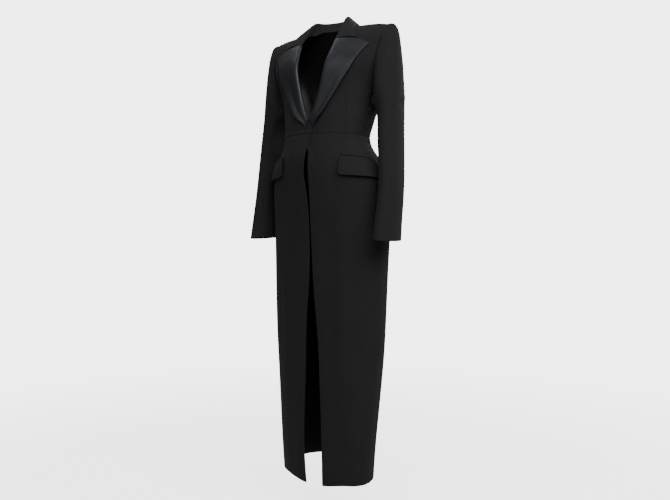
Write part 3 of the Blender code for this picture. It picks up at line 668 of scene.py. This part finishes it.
# ---- Pockets ----
# On each hip a slanting jetted pocket: two narrow wool jets with a flap hanging between them. The
# flap's lower corners are rounded and its edge is bagged out, so it stands a little proud.
POCKET_FRONT, POCKET_SHIFT, POCKET_REAR = 0.100, 0.0065, 0.460
POCKET_TOP, POCKET_TOP_REAR, JET, FLAP = -0.351, -0.362, 0.0055, 0.055
FLAP_ROUND, FLAP_CORNER, FLAP_THICK, JET_THICK, FLAP_SPRING = 0.06, 0.009, 0.0030, 0.0018, 0.0032
JET_SLIT, JET_LIES, FLAP_TUCK, FLAP_PROUD, FLAP_CLEAR = 0.0012, 0.0004, 0.0030, 0.0012, 0.0006


def pocket_place(side, top, deep, out, corner, u, v):
    inset = np.maximum(0.0, 1 - np.minimum(u, 1 - u) / FLAP_ROUND)
    low = deep - corner * (1 - np.sqrt(np.maximum(0.0, 1 - inset ** 2)))
    height = POCKET_TOP + (POCKET_TOP_REAR - POCKET_TOP) * u - top - (low - top) * v
    level = level_of(height)
    start = turn_of(side, side * POCKET_FRONT + POCKET_SHIFT, level)
    spring = FLAP_PROUD + FLAP_SPRING * v ** 2 if corner else 0.0
    return coat_point(side, start + (POCKET_REAR - start) * u, level, out + spring)


for side, hand in SIDES:
    for edge, top, deep in (("upper", 0, JET - JET_SLIT / 2), ("lower", JET + JET_SLIT / 2, 2 * JET)):
        jet = cloth_piece(f"jet_{edge}_{hand}",
                          partial(pocket_place, side, top, deep, JET_LIES + JET_THICK / 2, 0.0),
                          (side, -1, 0), wool, thick=JET_THICK, step=0.003)
        hang(jet, "black_wool", f"pocket_jet_{edge}_{hand}")
    flap_lies = JET_LIES + JET_THICK + FLAP_CLEAR + FLAP_THICK / 2
    flap = cloth_piece(f"flap_{hand}", partial(pocket_place, side, 2 * JET - FLAP_TUCK, JET + FLAP,
                                               flap_lies, FLAP_CORNER),
                       (side, -1, 0), wool, thick=FLAP_THICK, step=0.003)
    dress(flap, f"pocket_flap_{hand}")

# ---- Sleeves ----
# Two-piece wool sleeves hang from a padded, roped shoulder. The upper piece laps the under one in
# a short vent at the cuff, where the buttons sit.
SLEEVE_ROWS = (
    # height, side, fore, half width, half depth, lift of the outer side
    (-0.180, 0.2085, 0.007, 0.0350, 0.0535, 1.50), (-0.238, 0.2168, 0.003, 0.0312, 0.0490, 0.60),
    (-0.310, 0.2215, -0.005, 0.0310, 0.0485, 0.20), (-0.430, 0.2300, -0.015, 0.0290, 0.0480, 0.05),
    (-0.526, 0.2310, -0.029, 0.0290, 0.0510, -0.02), (-0.592, 0.2310, -0.039, 0.0305, 0.0535, -0.12),
)
FRONT_SEAM, HIND_SEAM = 0.36, 0.71
FOOT_FRONT, FOOT_BACK = 0.39, 0.61
SLEEVE_RUN, CAP_POWER, CAP_FORE, CAP_PULL = 6.0, 1.5, 0.6, 1.9
SLEEVE_EASE = ((-0.34, 0.14), (-0.17, 0.22), (0.0, 0.28), (0.17, 0.22), (0.34, 0.14))
EASE_TOP, EASE_CUFF = 0.6, 0.5
VENT_LONG, VENT_WIDE, VENT_EDGE, VENT_PROUD = 0.105, 0.018, 0.004, 0.0008
HEAD_WAVES = (
    # height, place round the armhole, spread; then down the sleeve: start, rise, stop, fall
    (0.0090, 0.30, 0.11, 0.0, 0.0055, 0.05, 0.12),
    (0.0008, 0.0, 0.16, 0.0, 0.005, 0.008, 0.022),
    (-0.0085, 0.47, 0.12, 0.004, 0.02, 0.07, 0.08),
)
CREASE_ROUND, CREASE_SOFT = (0.10, 0.14, 0.40, 0.05), 0.0040
sleeve_rings = smooth_curve(range(len(SLEEVE_ROWS)), SLEEVE_ROWS)


def armhole(side, turn_round):
    """The armhole, from the shoulder seam over the front, the foot and the back."""
    front_level = UNDERARM * np.clip(turn_round / FOOT_FRONT, 0, 1)
    back_level = UNDERARM * np.clip((1 - turn_round) / (1 - FOOT_BACK), 0, 1)
    level = np.where(turn_round < 0.5, front_level, back_level)
    ring = rings(level)
    front = turn_of(side, side * ring[..., 7], level)
    hind = back_turn(np.minimum(ring[..., 8], ring[..., 1]), level)
    share = np.clip((turn_round - FOOT_FRONT) / (FOOT_BACK - FOOT_FRONT), 0, 1)
    foot = SIDE_FRONT + (SIDE_BACK - SIDE_FRONT) * share
    turn = np.where(turn_round < FOOT_FRONT, front, np.where(turn_round > FOOT_BACK, hind, foot))
    return coat_base(side, turn, level)


def tube_point(side, turn_round, step):
    ring = np.moveaxis(sleeve_rings(step), -1, 0)
    angle = 2 * math.pi * turn_round
    across = ring[3] * np.cos(angle)
    return np.stack((side * (ring[1] + across), ring[2] - ring[4] * np.sin(angle),
                     ring[0] + ring[5] * across), -1)


def sleeve_point(side, turn_round, run):
    turn_round = turn_round % 1.0
    start, end = armhole(side, turn_round), tube_point(side, turn_round, 0 * run)
    top = np.maximum(0.0, np.cos(2 * math.pi * turn_round)) ** CAP_POWER
    corner = np.stack((end[..., 0] * top + (start[..., 0] + end[..., 0]) / 2 * (1 - top),
                       (start[..., 1] + end[..., 1]) / 2 * (CAP_FORE + (1 - CAP_FORE) * top)
                       + (1 - CAP_FORE) * (1 - top) * end[..., 1],
                       start[..., 2] * top + (start[..., 2] + end[..., 2]) / 2 * (1 - top)), -1)
    part, pull = np.clip(run, 0, 1)[..., None], (1 + CAP_PULL * top)[..., None]
    weights = ((1 - part) ** 2, 2 * pull * part * (1 - part), part ** 2)
    head = (weights[0] * start + weights[1] * corner + weights[2] * end) / sum(weights)
    return np.where(part < 1, head, tube_point(side, turn_round, np.maximum(run - 1, 0)))


def sleeve_place(side, first, last, u, v):
    turn_round = first + (last - first) * u
    run = SLEEVE_RUN * v
    spots = [sleeve_point(side, turn_round, np.clip(run + shift, 0, SLEEVE_RUN))
             for shift, _ in SLEEVE_EASE]
    blend = smooth_step(run / EASE_TOP) * smooth_step((SLEEVE_RUN - run) / EASE_CUFF)
    even = sum(weight * spot for (_, weight), spot in zip(SLEEVE_EASE, spots))
    return spots[2] + (even - spots[2]) * blend[..., None]


def band(value, start, rise, stop, fall):
    """Rises smoothly from 0 to 1 after the start and falls back to 0 after the stop."""
    return smooth_step((value - start) / rise) * (1 - smooth_step((value - stop) / fall))


def sleeve_head(turn_round, t):
    """The fullness eased in round the armhole: forward at the front, roped at the top, hollow
    under the arm, and creased along the front of the seam."""
    head = sum(height * np.exp(-((turn_round - place) / spread) ** 2) * band(t, *down)
               for height, place, spread, *down in HEAD_WAVES)
    crease = ARM_CREASE * band(turn_round, *CREASE_ROUND)
    return head - crease * np.exp(-(np.maximum(t, 0) / CREASE_SOFT) ** 2)


UPPER_FOLDS = (
    (0.02, 0.20, 0.10, 0.245, 0.010, 0.0016), (0.03, 0.265, 0.11, 0.235, 0.009, -0.0014),
    (0.105, 0.05, 0.09, 0.30, 0.012, 0.0012), (0.06, 0.30, 0.065, 0.58, 0.016, -0.0014),
    (0.095, 0.33, 0.09, 0.60, 0.014, 0.0012),
)
UNDER_FOLDS = (
    (0.01, 0.18, 0.08, 0.22, 0.010, 0.0016), (0.0, 0.24, 0.09, 0.215, 0.009, -0.0014),
)


def sleeve_relief(upper, points, u, v, s, t):
    inward = -CLOTH / 2 + 0.0 * s
    if upper:
        vent = (smooth_step((t - (t.max() - VENT_LONG)) / VENT_EDGE)
                * smooth_step((VENT_WIDE - s) / VENT_EDGE))
        head = sleeve_head(HIND_SEAM - 1 + (FRONT_SEAM + 1 - HIND_SEAM) * u, t)
        return inward + soft_folds(s, t, UPPER_FOLDS) + VENT_PROUD * vent + head
    head = sleeve_head(FRONT_SEAM + (HIND_SEAM - FRONT_SEAM) * u, t)
    return inward + soft_folds(s, t, UNDER_FOLDS) + head


for side, hand in SIDES:
    for part, first, last, out in (("upper", HIND_SEAM - 1, FRONT_SEAM, side),
                                   ("under", FRONT_SEAM, HIND_SEAM, -side)):
        sleeve = cloth_piece(f"sleeve_{hand}_{part}", partial(sleeve_place, side, first, last),
                             (out, 0, 0), wool, relief=partial(sleeve_relief, part == "upper"),
                             step=0.0045, sewn="flt", lap_top=0.004)
        dress(sleeve, f"sleeve_{part}_{hand}")

# ---- Lapels ----
# Wide peaked lapels faced in satin. Each rolls softly over the front's edge and lies on the
# chest, bagged out at its outer edge and springing a little near the break.
SATIN = 0.0030
LAPEL_EDGE_ROWS = ((-0.0455, 0.172), (-0.078, 0.1465), (-0.112, 0.1265), (-0.141, 0.1075),
                   (-0.166, 0.0925), (-0.220, 0.0595), (-0.245, 0.0420), (-0.272, 0.0150))
LAPEL_TOP, BREAK_HEIGHT, LAPEL_BOW = -0.0220, -0.252, 0.0085
LAPEL_STOP = {1: 0.0125, -1: -0.0105}
LAPEL_CROSS, CROSS_FROM = {1: 0.0, -1: 0.011}, 0.75
LAPEL_FLAT, LAPEL_TAIL, LAPEL_TURN = 0.90, 0.004, 0.009
LAPEL_LIES, LAPEL_SPRING, LAPEL_LIFT, LAPEL_CURL = 0.0005, 0.0026, 0.0012, 0.0075
SPRING_WIDTH, SPRING_RISE, SPRING_TOP = 0.05, 1.25, 0.6
CURL_GROWS, CURL_ENDS, CURL_REACH = 0.45, 0.12, 0.5
TIP_SINK, TIP_FROM, TIP_SPAN = 0.7, 0.86, 0.14
ROLL_SINK, ROLL_FROM, ROLL_SPAN, ROLL_NEAR, ROLL_OUT = 0.3, 0.93, 0.07, 0.012, 0.01
lapel_edge = smooth_curve(np.linspace(0, 1, len(LAPEL_EDGE_ROWS)), LAPEL_EDGE_ROWS)


def front_level(x, height):
    """Level at which the front surface has this height, x from the centre line."""
    low, high = np.zeros(np.shape(height)), np.full(np.shape(height), len(RING_ROWS) - 1.0)
    for _ in range(30):
        middle = (low + high) / 2
        climb = (1 - smooth_step(middle / UNDERARM)) * shoulder_height(x)
        above = rings(middle)[..., 0] + climb > height
        low, high = np.where(above, middle, low), np.where(above, high, middle)
    return (low + high) / 2


def front_point(side, x, height, out=0.0):
    level = front_level(x, height)
    return coat_point(side, turn_of(side, side * x, level), level, out)


def lapel_place(side, u, v):
    outer = lapel_edge(v)
    roll_height = LAPEL_TOP + (BREAK_HEIGHT - LAPEL_TOP) * v
    roll_x = np.maximum(roll_line(roll_height) + ROLL_ROOM, LAPEL_STOP[side])
    cross = LAPEL_CROSS[side] * smooth_step((v - CROSS_FROM) / (1 - CROSS_FROM))
    edge_x = np.maximum(outer[..., 1] - cross, roll_x + LAPEL_TAIL)
    part = np.clip(u / LAPEL_FLAT, 0, 1)
    height = outer[..., 0] + (roll_height - outer[..., 0]) * part
    height = height + LAPEL_BOW * np.sin(math.pi * part) * (1 - v) ** 4
    x = edge_x + (roll_x - edge_x) * part
    width = np.hypot(edge_x - roll_x, outer[..., 0] - roll_height)
    spring = (LAPEL_SPRING * np.minimum(1, width / SPRING_WIDTH) * smooth_step(SPRING_RISE * part)
              * (SPRING_TOP + (1 - SPRING_TOP) * v))
    curl = (smooth_step(v / CURL_GROWS) * smooth_step((1 - v) / CURL_ENDS)
            * (1 - smooth_step(part / CURL_REACH)))
    spring = ((spring + LAPEL_LIFT + LAPEL_CURL * curl)
              * (1 - TIP_SINK * smooth_step((v - TIP_FROM) / TIP_SPAN)))
    turned = smooth_step((part - ROLL_FROM) / ROLL_SPAN) * ROLL_SINK
    flat = front_point(side, x, height, LAPEL_LIES + SATIN / 2 + spring * (1 - turned))
    edge = front_point(side, roll_x, roll_height, 0.0)
    inner = front_point(side, roll_x + ROLL_NEAR, roll_height, 0.0)
    outward = unit(front_point(side, roll_x, roll_height, ROLL_OUT) - edge)
    forth = unit(edge - inner)
    lift = LAPEL_LIES + SATIN / 2 + spring * (1 - ROLL_SINK)
    turn_part = np.clip((u - LAPEL_FLAT) / (1 - LAPEL_FLAT), 0, 1)
    angle = math.pi * np.minimum(turn_part / 0.5, 1)
    radius = (lift + CLOTH + LAPEL_LIES + SATIN / 2) / 2
    centre = edge + (lift - radius)[..., None] * outward
    wrap = centre + radius[..., None] * (np.cos(angle)[..., None] * outward
                                         + np.sin(angle)[..., None] * forth)
    back = -LAPEL_TURN * np.clip((turn_part - 0.5) / 0.5, 0, 1)
    wrap = wrap + back[..., None] * forth
    return np.where((u > LAPEL_FLAT)[..., None], wrap, flat)


SATIN_DARK, SATIN_LIGHT = (0.0042, 0.0047, 0.0062), (0.0070, 0.0077, 0.0100)


def satin_cloth():
    """Satin: long fine floats along the lapel that catch the light, over a slightly uneven ply."""
    made, shader, wire = new_finish("black_satin_weave", Specular_IOR_Level=0.17, Anisotropic=0.35,
                                    Sheen_Weight=0.02, Sheen_Roughness=0.3)
    cut = wire.add("ShaderNodeUVMap", uv_map="cut")
    floats = wire.add("ShaderNodeMapping", {"Vector": cut, "Scale": (1.0, 0.06, 1.0)})
    warp = wire.add("ShaderNodeTexNoise", {"Vector": floats, "Scale": 2600.0, "Detail": 2.0},
                    noise_dimensions="2D")
    ply = wire.add("ShaderNodeTexNoise", {"Vector": cut, "Scale": 34.0, "Detail": 3.0},
                   noise_dimensions="2D")
    wire.join(shader.inputs["Base Color"],
              mix_colour(wire, warp * 0.6 + ply * 0.4, SATIN_DARK, SATIN_LIGHT))
    wire.join(shader.inputs["Roughness"], warp * 0.10 + ply * 0.08 + 0.34)
    bump = wire.add("ShaderNodeBump", {"Height": warp * 0.35 + ply * 1.4, "Strength": 0.35,
                                       "Distance": 0.0004})
    wire.join(shader.inputs["Normal"], bump)
    return made


satin = satin_cloth()
for side, hand in SIDES:
    lapel = cloth_piece(f"lapel_facing_{hand}", partial(lapel_place, side), (0, -1, 0), satin,
                        thick=SATIN, stops=(0, LAPEL_FLAT, 1), step=0.0035)
    dress(lapel, f"lapel_{hand}", "black_satin")

# ---- Collar ----
# A wool collar on its stand. The leaf falls from the fold over the neck seam, its ends cut off
# at the gorge, where a short step shows against the lapel's top edge.
COLLAR_FOLD = ((0.0645, -0.0565, -0.0205), (0.0615, -0.0160, 0.034), (0.0595, 0.0060, 0.0570),
               (0.0520, 0.0330, 0.0605), (0.0300, 0.0540, 0.0625), (0.0000, 0.0610, 0.0635))
GORGE_END = (0.1345, -0.0262)
GORGE_SHARE, LEAF_LEVEL, LEAF_SIDE, LEAF_BULGE = 0.42, 2.55, 0.104, 0.0075
LEAF_LIES, LEAF_OPENS, LEAF_PROUD, LEAF_ROUND, LEAF_START = 0.0018, 0.0028, 0.0010, 0.95, 0.02
SEAM_HIDDEN = 0.0005
STAND_UNDER, STAND_TOP, STAND_IN, STAND_DROP = 0.0032, 0.0003, 0.0005, 0.020
STAND_REACH, NECK_FOOT, NECK_UNDER, NECK_CENTRE = 0.001, 0.0747, 0.10, (0.0, 0.010, 0.0)
fold_curve = smooth_curve(np.linspace(0, 1, len(COLLAR_FOLD)), COLLAR_FOLD)


def handed(side, spots):
    """Spots given for the left, moved to their own side."""
    return spots * np.stack((side, 1 + 0 * side, 1 + 0 * side), -1)


def collar_fold(u):
    """The fold, from the right gorge round the back of the neck to the left one."""
    share = 2 * u - 1
    side = np.where(share >= 0, 1.0, -1.0)
    return share, side, handed(side, fold_curve(1 - np.abs(share)))


def leaf_edge(side, share):
    edge = 1 - np.abs(share)
    part = np.clip(edge / GORGE_SHARE, 0, 1)
    x = GORGE_END[0] + (LEAF_SIDE - GORGE_END[0]) * part
    height = GORGE_END[1] + (shoulder_height(x) - SEAM_HIDDEN - GORGE_END[1]) * part
    chest = front_point(1, x, height, LEAF_LIES + LEAF_OPENS * (1 - part))
    angle = np.clip((edge - GORGE_SHARE) / (1 - GORGE_SHARE), 0, 1) * math.pi / 2
    level = LEAF_START + (LEAF_LEVEL - LEAF_START) * np.sin(angle)
    nape = coat_point(1, back_turn(LEAF_SIDE * np.cos(angle), level), level, LEAF_LIES)
    return handed(side, np.where((edge <= GORGE_SHARE)[..., None], chest, nape))


def leaf_place(u, v):
    share, side, fold = collar_fold(u)
    edge = leaf_edge(side, share)
    away = unit((edge - fold) * np.array((1, 1, 0.0)))
    chest = np.maximum(0.0, 1 - (1 - np.abs(share)) / GORGE_SHARE)[..., None]
    up = np.concatenate((0 * chest, -chest, 1 + 0 * chest), -1)
    round_out = LEAF_BULGE * (1 - LEAF_ROUND + LEAF_ROUND * chest)
    corner = (fold + edge) / 2 + round_out * up + LEAF_PROUD * away
    part = v[..., None]
    return (1 - part) ** 2 * fold + 2 * part * (1 - part) * corner + part ** 2 * edge


def stand_place(u, v):
    share, side, fold = collar_fold(u)
    inward = unit((np.array(NECK_CENTRE) - fold) * np.array((1, 1, 0.0)))
    top = fold + np.array((0, 0, STAND_TOP)) + inward * STAND_IN
    edge = 1 - np.abs(share)
    height = fold[..., 2] - STAND_DROP * np.clip(edge / GORGE_SHARE, 0, 1)
    reach = roll_line(height) + ROLL_ROOM + STAND_REACH
    chest = front_point(1, reach, height, -STAND_UNDER)
    x = NECK_FOOT * np.cos(np.clip((edge - GORGE_SHARE) / (1 - GORGE_SHARE), 0, 1) * math.pi / 2)
    level = neck_level(x) + NECK_UNDER
    nape = coat_point(1, back_turn(x, level), level, -STAND_UNDER)
    foot = handed(side, np.where((edge < GORGE_SHARE)[..., None], chest, nape))
    return top + (foot - top) * v[..., None]


leaf = cloth_piece("collar_fall", leaf_place, (0, 0.6, 1), wool, thick=0.0022, step=0.0035,
                   down_step=0.003)
dress(leaf, "collar_leaf")
stand = cloth_piece("collar_band", stand_place, (0, -1, 0), wool, thick=0.0018, step=0.0035)
dress(stand, "collar_stand")

# ---- Cuff buttons ----
# Four small polished black buttons in a row on each cuff's vent, turned with a raised rim and a
# shallow dish. One shape is set on every spot of the row, facing out from the cloth.
BUTTON_RADIUS, BUTTON_THICK, BUTTON_LIES = 0.0065, 0.0033, 0.0014
BUTTON_STEP, BUTTON_FIRST, BUTTON_ROUND, BUTTONS = 0.0155, 0.022, 0.685, 4
CUFF_RUN = 0.066    # metres of sleeve to one step of its run near the cuff


def button_shape():
    """A turned button: a raised rim, a shallow dish and a domed back, on its axis +Z."""
    profile = ((0.0, 0.0), (0.70, 0.0), (0.92, 0.18), (1.0, 0.45), (0.98, 0.80), (0.88, 1.0),
               (0.76, 0.98), (0.64, 0.74), (0.30, 0.66), (0.0, 0.66))
    sides, faces = 28, []
    angles = [2 * math.pi * k / sides for k in range(sides)]
    points = [(BUTTON_RADIUS * share * math.cos(angle), BUTTON_RADIUS * share * math.sin(angle),
               BUTTON_THICK * rise) for share, rise in profile[1:-1] for angle in angles]
    points = [(0.0, 0.0, 0.0), *points, (0.0, 0.0, BUTTON_THICK * profile[-1][1])]
    rows = len(profile) - 2
    for k in range(sides):
        n = (k + 1) % sides
        faces.append((0, 1 + n, 1 + k))
        faces.append((len(points) - 1, 1 + (rows - 1) * sides + k, 1 + (rows - 1) * sides + n))
        for r in range(rows - 1):
            a, b = 1 + r * sides, 1 + (r + 1) * sides
            faces.append((a + k, a + n, b + n, b + k))
    mesh = bpy.data.meshes.new("button_shape")
    mesh.from_pydata(points, [], faces)
    mesh.polygons.foreach_set("use_smooth", np.ones(len(faces), bool))
    return add_object("button_shape", mesh)


def row_tree(shape, finish):
    """Sets one shape on every point of a row, turned to the cloth, as one plain mesh."""
    tree = bpy.data.node_groups.new("sewn_row", "GeometryNodeTree")
    tree.interface.new_socket("Geometry", in_out="INPUT", socket_type="NodeSocketGeometry")
    size = tree.interface.new_socket("Size", in_out="INPUT", socket_type="NodeSocketFloat")
    tree.interface.new_socket("Geometry", in_out="OUTPUT", socket_type="NodeSocketGeometry")
    node = tree.nodes.new
    start, end = node("NodeGroupInput"), node("NodeGroupOutput")
    info, aim = node("GeometryNodeObjectInfo"), node("GeometryNodeInputNamedAttribute")
    turn, place = node("FunctionNodeAlignRotationToVector"), node("GeometryNodeInstanceOnPoints")
    real, dye = node("GeometryNodeRealizeInstances"), node("GeometryNodeSetMaterial")
    info.inputs["Object"].default_value = shape
    aim.data_type = "FLOAT_VECTOR"
    aim.inputs["Name"].default_value = "aim"
    turn.axis = "Z"
    dye.inputs["Material"].default_value = finish
    for giver, given, taker, taken in (
            (aim, "Attribute", turn, "Vector"), (start, "Geometry", place, "Points"),
            (info, "Geometry", place, "Instance"), (turn, "Rotation", place, "Rotation"),
            (start, "Size", place, "Scale"), (place, "Instances", real, "Geometry"),
            (real, "Geometry", dye, "Geometry"), (dye, "Geometry", end, "Geometry")):
        tree.links.new(giver.outputs[given], taker.inputs[taken])
    return tree, size.identifier


def sewn_row(name, tree, size_socket, places, aims, size=1.0):
    mesh = bpy.data.meshes.new(name + "_points")
    mesh.from_pydata([tuple(map(float, p)) for p in places], [], [])
    layer = mesh.attributes.new("aim", "FLOAT_VECTOR", "POINT")
    layer.data.foreach_set("vector", np.asarray(aims, float).reshape(-1))
    holder = add_object(name, mesh)
    row = holder.modifiers.new("row", "NODES")
    row.node_group = tree
    row[size_socket] = float(size)
    plain = bpy.data.meshes.new_from_object(holder.evaluated_get(
        bpy.context.evaluated_depsgraph_get()))
    holder.modifiers.remove(row)
    holder.data = plain
    plain.name = name
    return holder


def button_finish():
    made, shader, wire = new_finish("polished_black_button", Specular_IOR_Level=0.5)
    place = wire.add("ShaderNodeTexCoord", output=3)
    swirl = wire.add("ShaderNodeTexNoise", {"Vector": place, "Scale": 420.0, "Detail": 3.0,
                                            "Distortion": 1.5})
    wire.join(shader.inputs["Base Color"], mix_colour(wire, swirl, (0.006, 0.006, 0.007),
                                                      (0.016, 0.015, 0.015)))
    wire.join(shader.inputs["Roughness"], swirl * 0.12 + 0.20)
    wire.join(shader.inputs["Normal"], wire.add("ShaderNodeBump", {
        "Height": swirl, "Strength": 0.15, "Distance": 0.0001}))
    return made


button = button_shape()
buttons_tree, button_size = row_tree(button, button_finish())
for side, hand in SIDES:
    runs = SLEEVE_RUN - (BUTTON_FIRST + BUTTON_STEP * np.arange(BUTTONS)) / CUFF_RUN
    rounds = np.full(BUTTONS, BUTTON_ROUND)
    spots = sleeve_point(side, rounds, runs)
    around = sleeve_point(side, rounds + 0.01, runs) - sleeve_point(side, rounds - 0.01, runs)
    along = sleeve_point(side, rounds, runs + 0.01) - sleeve_point(side, rounds, runs - 0.01)
    aims = unit(np.cross(around, along))
    aims = aims * np.sign(np.sum(aims * np.array((0, 1, 0)), axis=1, keepdims=True))
    row = sewn_row(f"cuff_buttons_{hand}", buttons_tree, button_size,
                   spots + aims * BUTTON_LIES, aims)
    hang(row, "black_button", *[f"cuff_button_{hand}_{k + 1}" for k in range(BUTTONS)])
bpy.data.objects.remove(button)

# ---- Floor, lamps and camera ----
# A plain white studio: a round glowing floor that fades into white air, its glow dimmed towards the
# middle as a painted soft shadow under the coat; broad soft lamps on all sides and a camera level
# with the middle of the coat.
FLOOR, FLOOR_RADIUS, FLOOR_SIDES = cad_box[0][2] - 0.10, 2.6, 64
FLOOR_GLOW, AIR_GLOW, AIR_LIGHT = 1.4, 4.6, 0.15


def studio_floor():
    """A round white floor that glows and fades into the white air round it; its glow is dimmed
    towards the middle as a painted soft shadow under the coat.
    """
    angles = [2 * math.pi * k / FLOOR_SIDES for k in range(FLOOR_SIDES)]
    points = [(FLOOR_RADIUS * math.cos(a), FLOOR_RADIUS * math.sin(a), FLOOR) for a in angles]
    mesh = bpy.data.meshes.new("studio_floor")
    mesh.from_pydata(points, [], [tuple(range(FLOOR_SIDES))])
    made = add_object("studio_floor", mesh)
    finish, shader, wire = new_finish("studio_white", Roughness=0.9, Emission_Strength=FLOOR_GLOW)
    shader.inputs["Base Color"].default_value = (0.90, 0.90, 0.90, 1.0)
    spot = wire.add("ShaderNodeTexCoord", output=3)
    shrink = 1 / FLOOR_RADIUS
    flat = wire.add("ShaderNodeMapping", {"Vector": spot, "Scale": (shrink, shrink, 0)})
    shadow_and_fade = wire.add("ShaderNodeTexGradient", {"Vector": flat}, output=1, gradient_type="SPHERICAL")
    # Painted shadow: the floor's glow runs from white at the rim to dark grey in the middle, under
    # the coat. The same gradient also fades the floor out at its rim.
    wire.join(shader.inputs["Emission Color"],
              mix_colour(wire, shadow_and_fade, (1.0, 1.0, 1.0), (0.2, 0.2, 0.2)))
    wire.join(shader.inputs["Alpha"], wire.add("ShaderNodeValToRGB", {"Fac": shadow_and_fade}, output=0,
                                               stops=((0.02, 0.0), (0.55, 0.5))))
    mesh.materials.append(finish)


def lamp(name, place, aim, size, power):
    data = bpy.data.lights.new(name, "AREA")
    data.shape, data.size, data.size_y, data.energy = "RECTANGLE", *size, power
    made = add_object(name, data)
    made.location = place
    made.rotation_euler = (Vector(aim) - Vector(place)).to_track_quat("-Z", "Y").to_euler()


studio_floor()
lamp("side_lamp", (2.4, -0.9, 1.5), (0, 0, -0.4), (2.2, 2.0), 172)
lamp("front_lamp", (1.4, -2.1, 0.9), (0, 0, -0.6), (1.6, 1.6), 64)
lamp("lapel_lamp", (-0.5, -2.3, 1.0), (0, 0, -0.1), (0.9, 1.5), 18)
lamp("far_lamp", (-1.9, -0.4, 2.5), (0, 0, -0.5), (1.4, 1.4), 31)
lamp("rim_lamp", (1.0, 2.1, 1.4), (0, 0, -0.2), (1.0, 1.4), 60)
lamp("back_lamp", (-1.2, 2.6, 0.9), (0, 0, -0.6), (2.0, 2.2), 75)
world = bpy.data.worlds.new("studio_air")
world.use_nodes = True
air = Wire(world.node_tree)
seen = air.add("ShaderNodeLightPath", output=0)
air.join(world.node_tree.nodes["Background"].inputs["Strength"],
         seen * (AIR_GLOW - AIR_LIGHT) + AIR_LIGHT)
world.node_tree.nodes["Background"].inputs["Color"].default_value = (1, 1, 1, 1)
bpy.context.scene.world = world

VIEW_TURN, VIEW_DISTANCE, VIEW_HEIGHT = math.radians(38.74), 2.199, -0.549
SENSOR, LENS, SHIFT_ACROSS, SHIFT_UP = 36, 39.814925, 0.0074627, -0.0386567
camera = add_object("camera", bpy.data.cameras.new("camera"))
camera.location = (VIEW_DISTANCE * math.sin(VIEW_TURN), -VIEW_DISTANCE * math.cos(VIEW_TURN),
                   VIEW_HEIGHT)
camera.rotation_euler = (math.pi / 2, 0, VIEW_TURN)
camera.data.sensor_width, camera.data.lens = SENSOR, LENS
camera.data.shift_x, camera.data.shift_y = SHIFT_ACROSS, SHIFT_UP
bpy.context.scene.camera = camera
